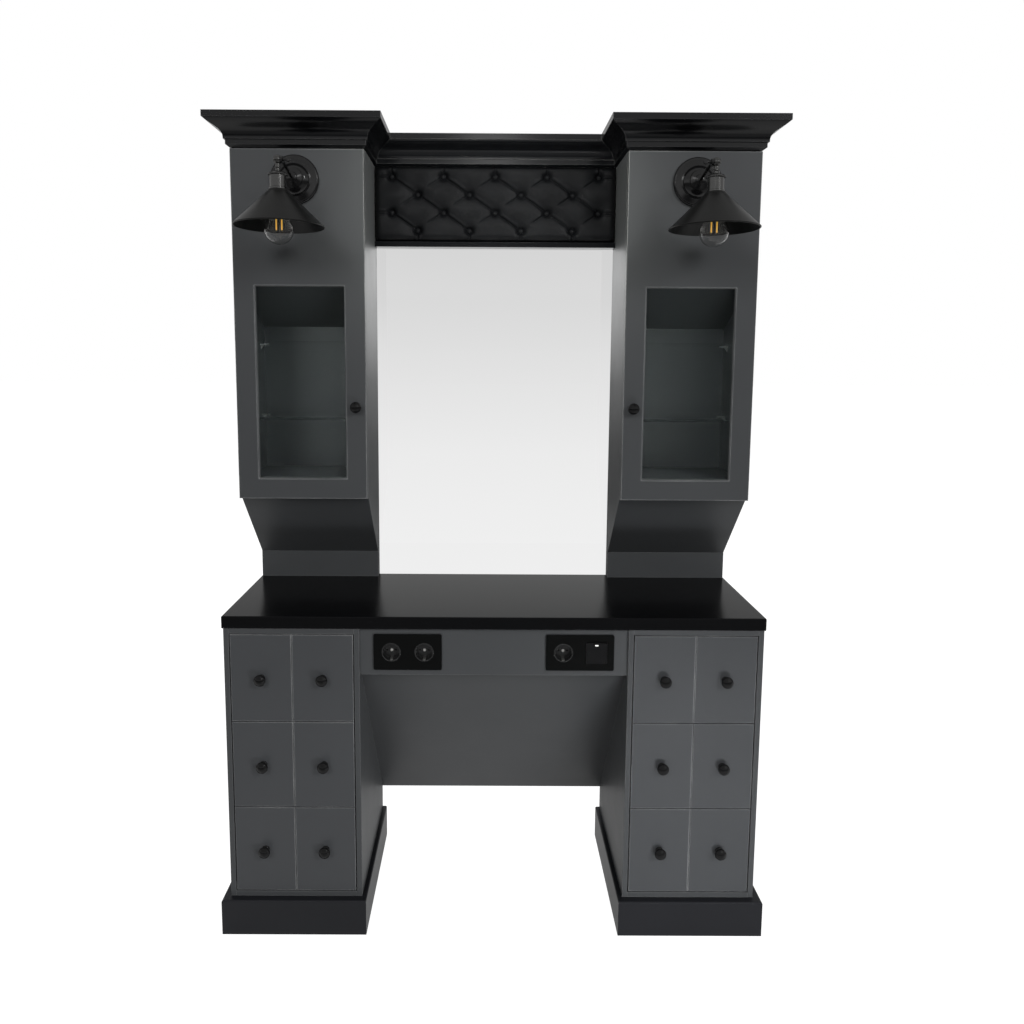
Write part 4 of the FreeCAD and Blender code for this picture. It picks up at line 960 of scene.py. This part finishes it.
def sewPad(settings, lattice, edges, shape, back):
    # pits, sharp creases and the folds beside them, made after the cloth has swollen
    chance = random.Random(settings["seed"])
    amounts = {}
    for vert in shape.verts:
        x, y, z = vert.co
        if y > back - settings["backDepth"]:
            continue
        sink = pitSink(settings, lattice.toButton(x, z))
        for across, strength, name in pleatsAt(settings, lattice, x, z):
            amount = amounts.setdefault(name, chance.uniform(*settings["creaseSpread"]))
            crease = settings["creaseDepth"] * bell(across, settings["creaseWidth"])
            fold = settings["foldRise"] * bell(across - settings["foldAside"],
                                               settings["foldWidth"])
            sink += strength * amount * (crease - fold)
        vert.co.y = y + sink + edgePleatSink(settings, lattice, edges, x, z)


def makePad(settings):
    lattice = TuftedLattice(settings)
    low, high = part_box("buttoned_pad")
    back = high[1] - settings["backGap"]
    edges = (low[0], high[0], low[2], high[2])
    shape = padSheet(settings, lattice, edges, low[1] + settings["frontGap"], back)
    pad = meshObject("tuftedPad", shape, smooth=True)
    inflate(pad, settings, lattice, back)
    shape = bmesh.new()
    shape.from_mesh(pad.data)
    sewPad(settings, lattice, edges, shape, back)
    rim = [edge for edge in shape.edges if edge.is_boundary]
    bmesh.ops.triangle_fill(shape, edges=rim, use_beauty=True, normal=(0, 1, 0))
    shape.to_mesh(pad.data)
    shape.free()
    pad.data.shade_smooth()
    pad.vertex_groups.clear()
    pad.data.materials.append(leather)
    rounder = pad.modifiers.new("round", "SUBSURF")
    rounder.levels = rounder.render_levels = settings["subdivisions"]
    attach(pad, "station")
    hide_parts("buttoned_pad")


makePad(padSettings)
print("pad tufted")


# inside each clear bulb: a stem, two filament sticks and the wires that hold them
bulbSettings = {
    # starts are above the bulb's lowest point, and drops below its highest
    "stemStart": 0.060, "stemTip": 0.003, "stemRadius": 0.0036, "stemTaper": 0.8,
    "neckDrop": 0.020, "flareRadius": 0.0095, "flareDrop": 0.006, "stemEndDrop": 0.005,
    "filamentAside": 0.0058, "filamentRadius": 0.0015, "filamentStart": 0.029,
    "filamentLength": 0.027,
    "wireRadius": 0.0005, "wireOverlap": 0.001, "wireDrop": 0.007, "wireEndDrop": 0.006,
    "stemSteps": 32, "filamentSteps": 16, "wireSteps": 10,
}


def spunPiece(name, profile, axis, material, steps):
    # profile: (radius, height) from the bottom to the top, closed on the axis at both ends
    shape = bmesh.new()
    verts = [shape.verts.new((axis[0] + radius, axis[1], height)) for radius, height in profile]
    edges = [shape.edges.new(pair) for pair in zip(verts, verts[1:])]
    bmesh.ops.spin(shape, geom=verts + edges, cent=(axis[0], axis[1], 0), axis=(0, 0, 1),
                   angle=2 * math.pi, steps=steps, use_merge=True)
    bmesh.ops.remove_doubles(shape, verts=shape.verts, dist=1e-5)
    bmesh.ops.recalc_face_normals(shape, faces=shape.faces)
    piece = meshObject(name, shape, smooth=True)
    piece.data.materials.append(material)
    return piece


def makeBulbInsides(side, settings):
    low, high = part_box(f"{side}_lamp_bulb")
    axis = ((low[0] + high[0]) / 2, (low[1] + high[1]) / 2)
    top = high[2]
    stemStart = low[2] + settings["stemStart"]
    radius = settings["stemRadius"]
    stem = spunPiece(f"{side}_bulbStem", (
        (0, stemStart), (radius, stemStart + settings["stemTip"]),
        (radius * settings["stemTaper"], top - settings["neckDrop"]),
        (settings["flareRadius"], top - settings["flareDrop"]),
        (0, top - settings["stemEndDrop"])), axis, glasses["bulbGlass"], settings["stemSteps"])
    pieces = [(stem, "bulb_glass")]
    start = low[2] + settings["filamentStart"]
    end = start + settings["filamentLength"]
    thick, thin = settings["filamentRadius"], settings["wireRadius"]
    for way, label in ((-1, "Left"), (1, "Right")):
        place = (axis[0] + way * settings["filamentAside"], axis[1])
        stick = spunPiece(f"{side}_filament{label}", (
            (0, start), (thick, start + thick), (thick, end - thick), (0, end)),
            place, glows["amberFilament"], settings["filamentSteps"])
        wire = spunPiece(f"{side}_filamentWire{label}", (
            (0, end - settings["wireOverlap"]), (thin, end),
            (thin, top - settings["wireDrop"]), (0, top - settings["wireEndDrop"])),
            place, metals["contactNickel"], settings["wireSteps"])
        pieces += [(stick, "bulb_glass"), (wire, "holder_metal")]
    for piece, slot in pieces:
        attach(piece, f"{side}_lamp_head")


# a small light lens near the top of the rocker
lensSettings = {"width": 0.0070, "height": 0.0026, "drop": 0.0050, "rise": 0.0004,
                "roundShare": 0.8}


def makeLens(settings):
    low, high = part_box("rocker_switch")
    middle = (low[0] + high[0]) / 2
    shape = bmesh.new()
    bmesh.ops.create_cube(shape, size=1.0)
    bmesh.ops.scale(shape, verts=shape.verts,
                    vec=(settings["width"], 2 * settings["rise"], settings["height"]))
    bmesh.ops.bevel(shape, geom=shape.edges[:], offset=settings["rise"] * settings["roundShare"],
                    segments=2, affect="EDGES", profile=0.5, material=-1)
    bmesh.ops.translate(shape, verts=shape.verts,
                        vec=(middle, low[1], high[2] - settings["drop"]))
    lens = meshObject("switchLens", shape, smooth=True)
    lens.data.materials.append(glows["switchLensGlow"])
    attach(lens, "rocker")


for side in sides:
    makeBulbInsides(side, bulbSettings)
makeLens(lensSettings)
print("bulbs and switch lens fitted")
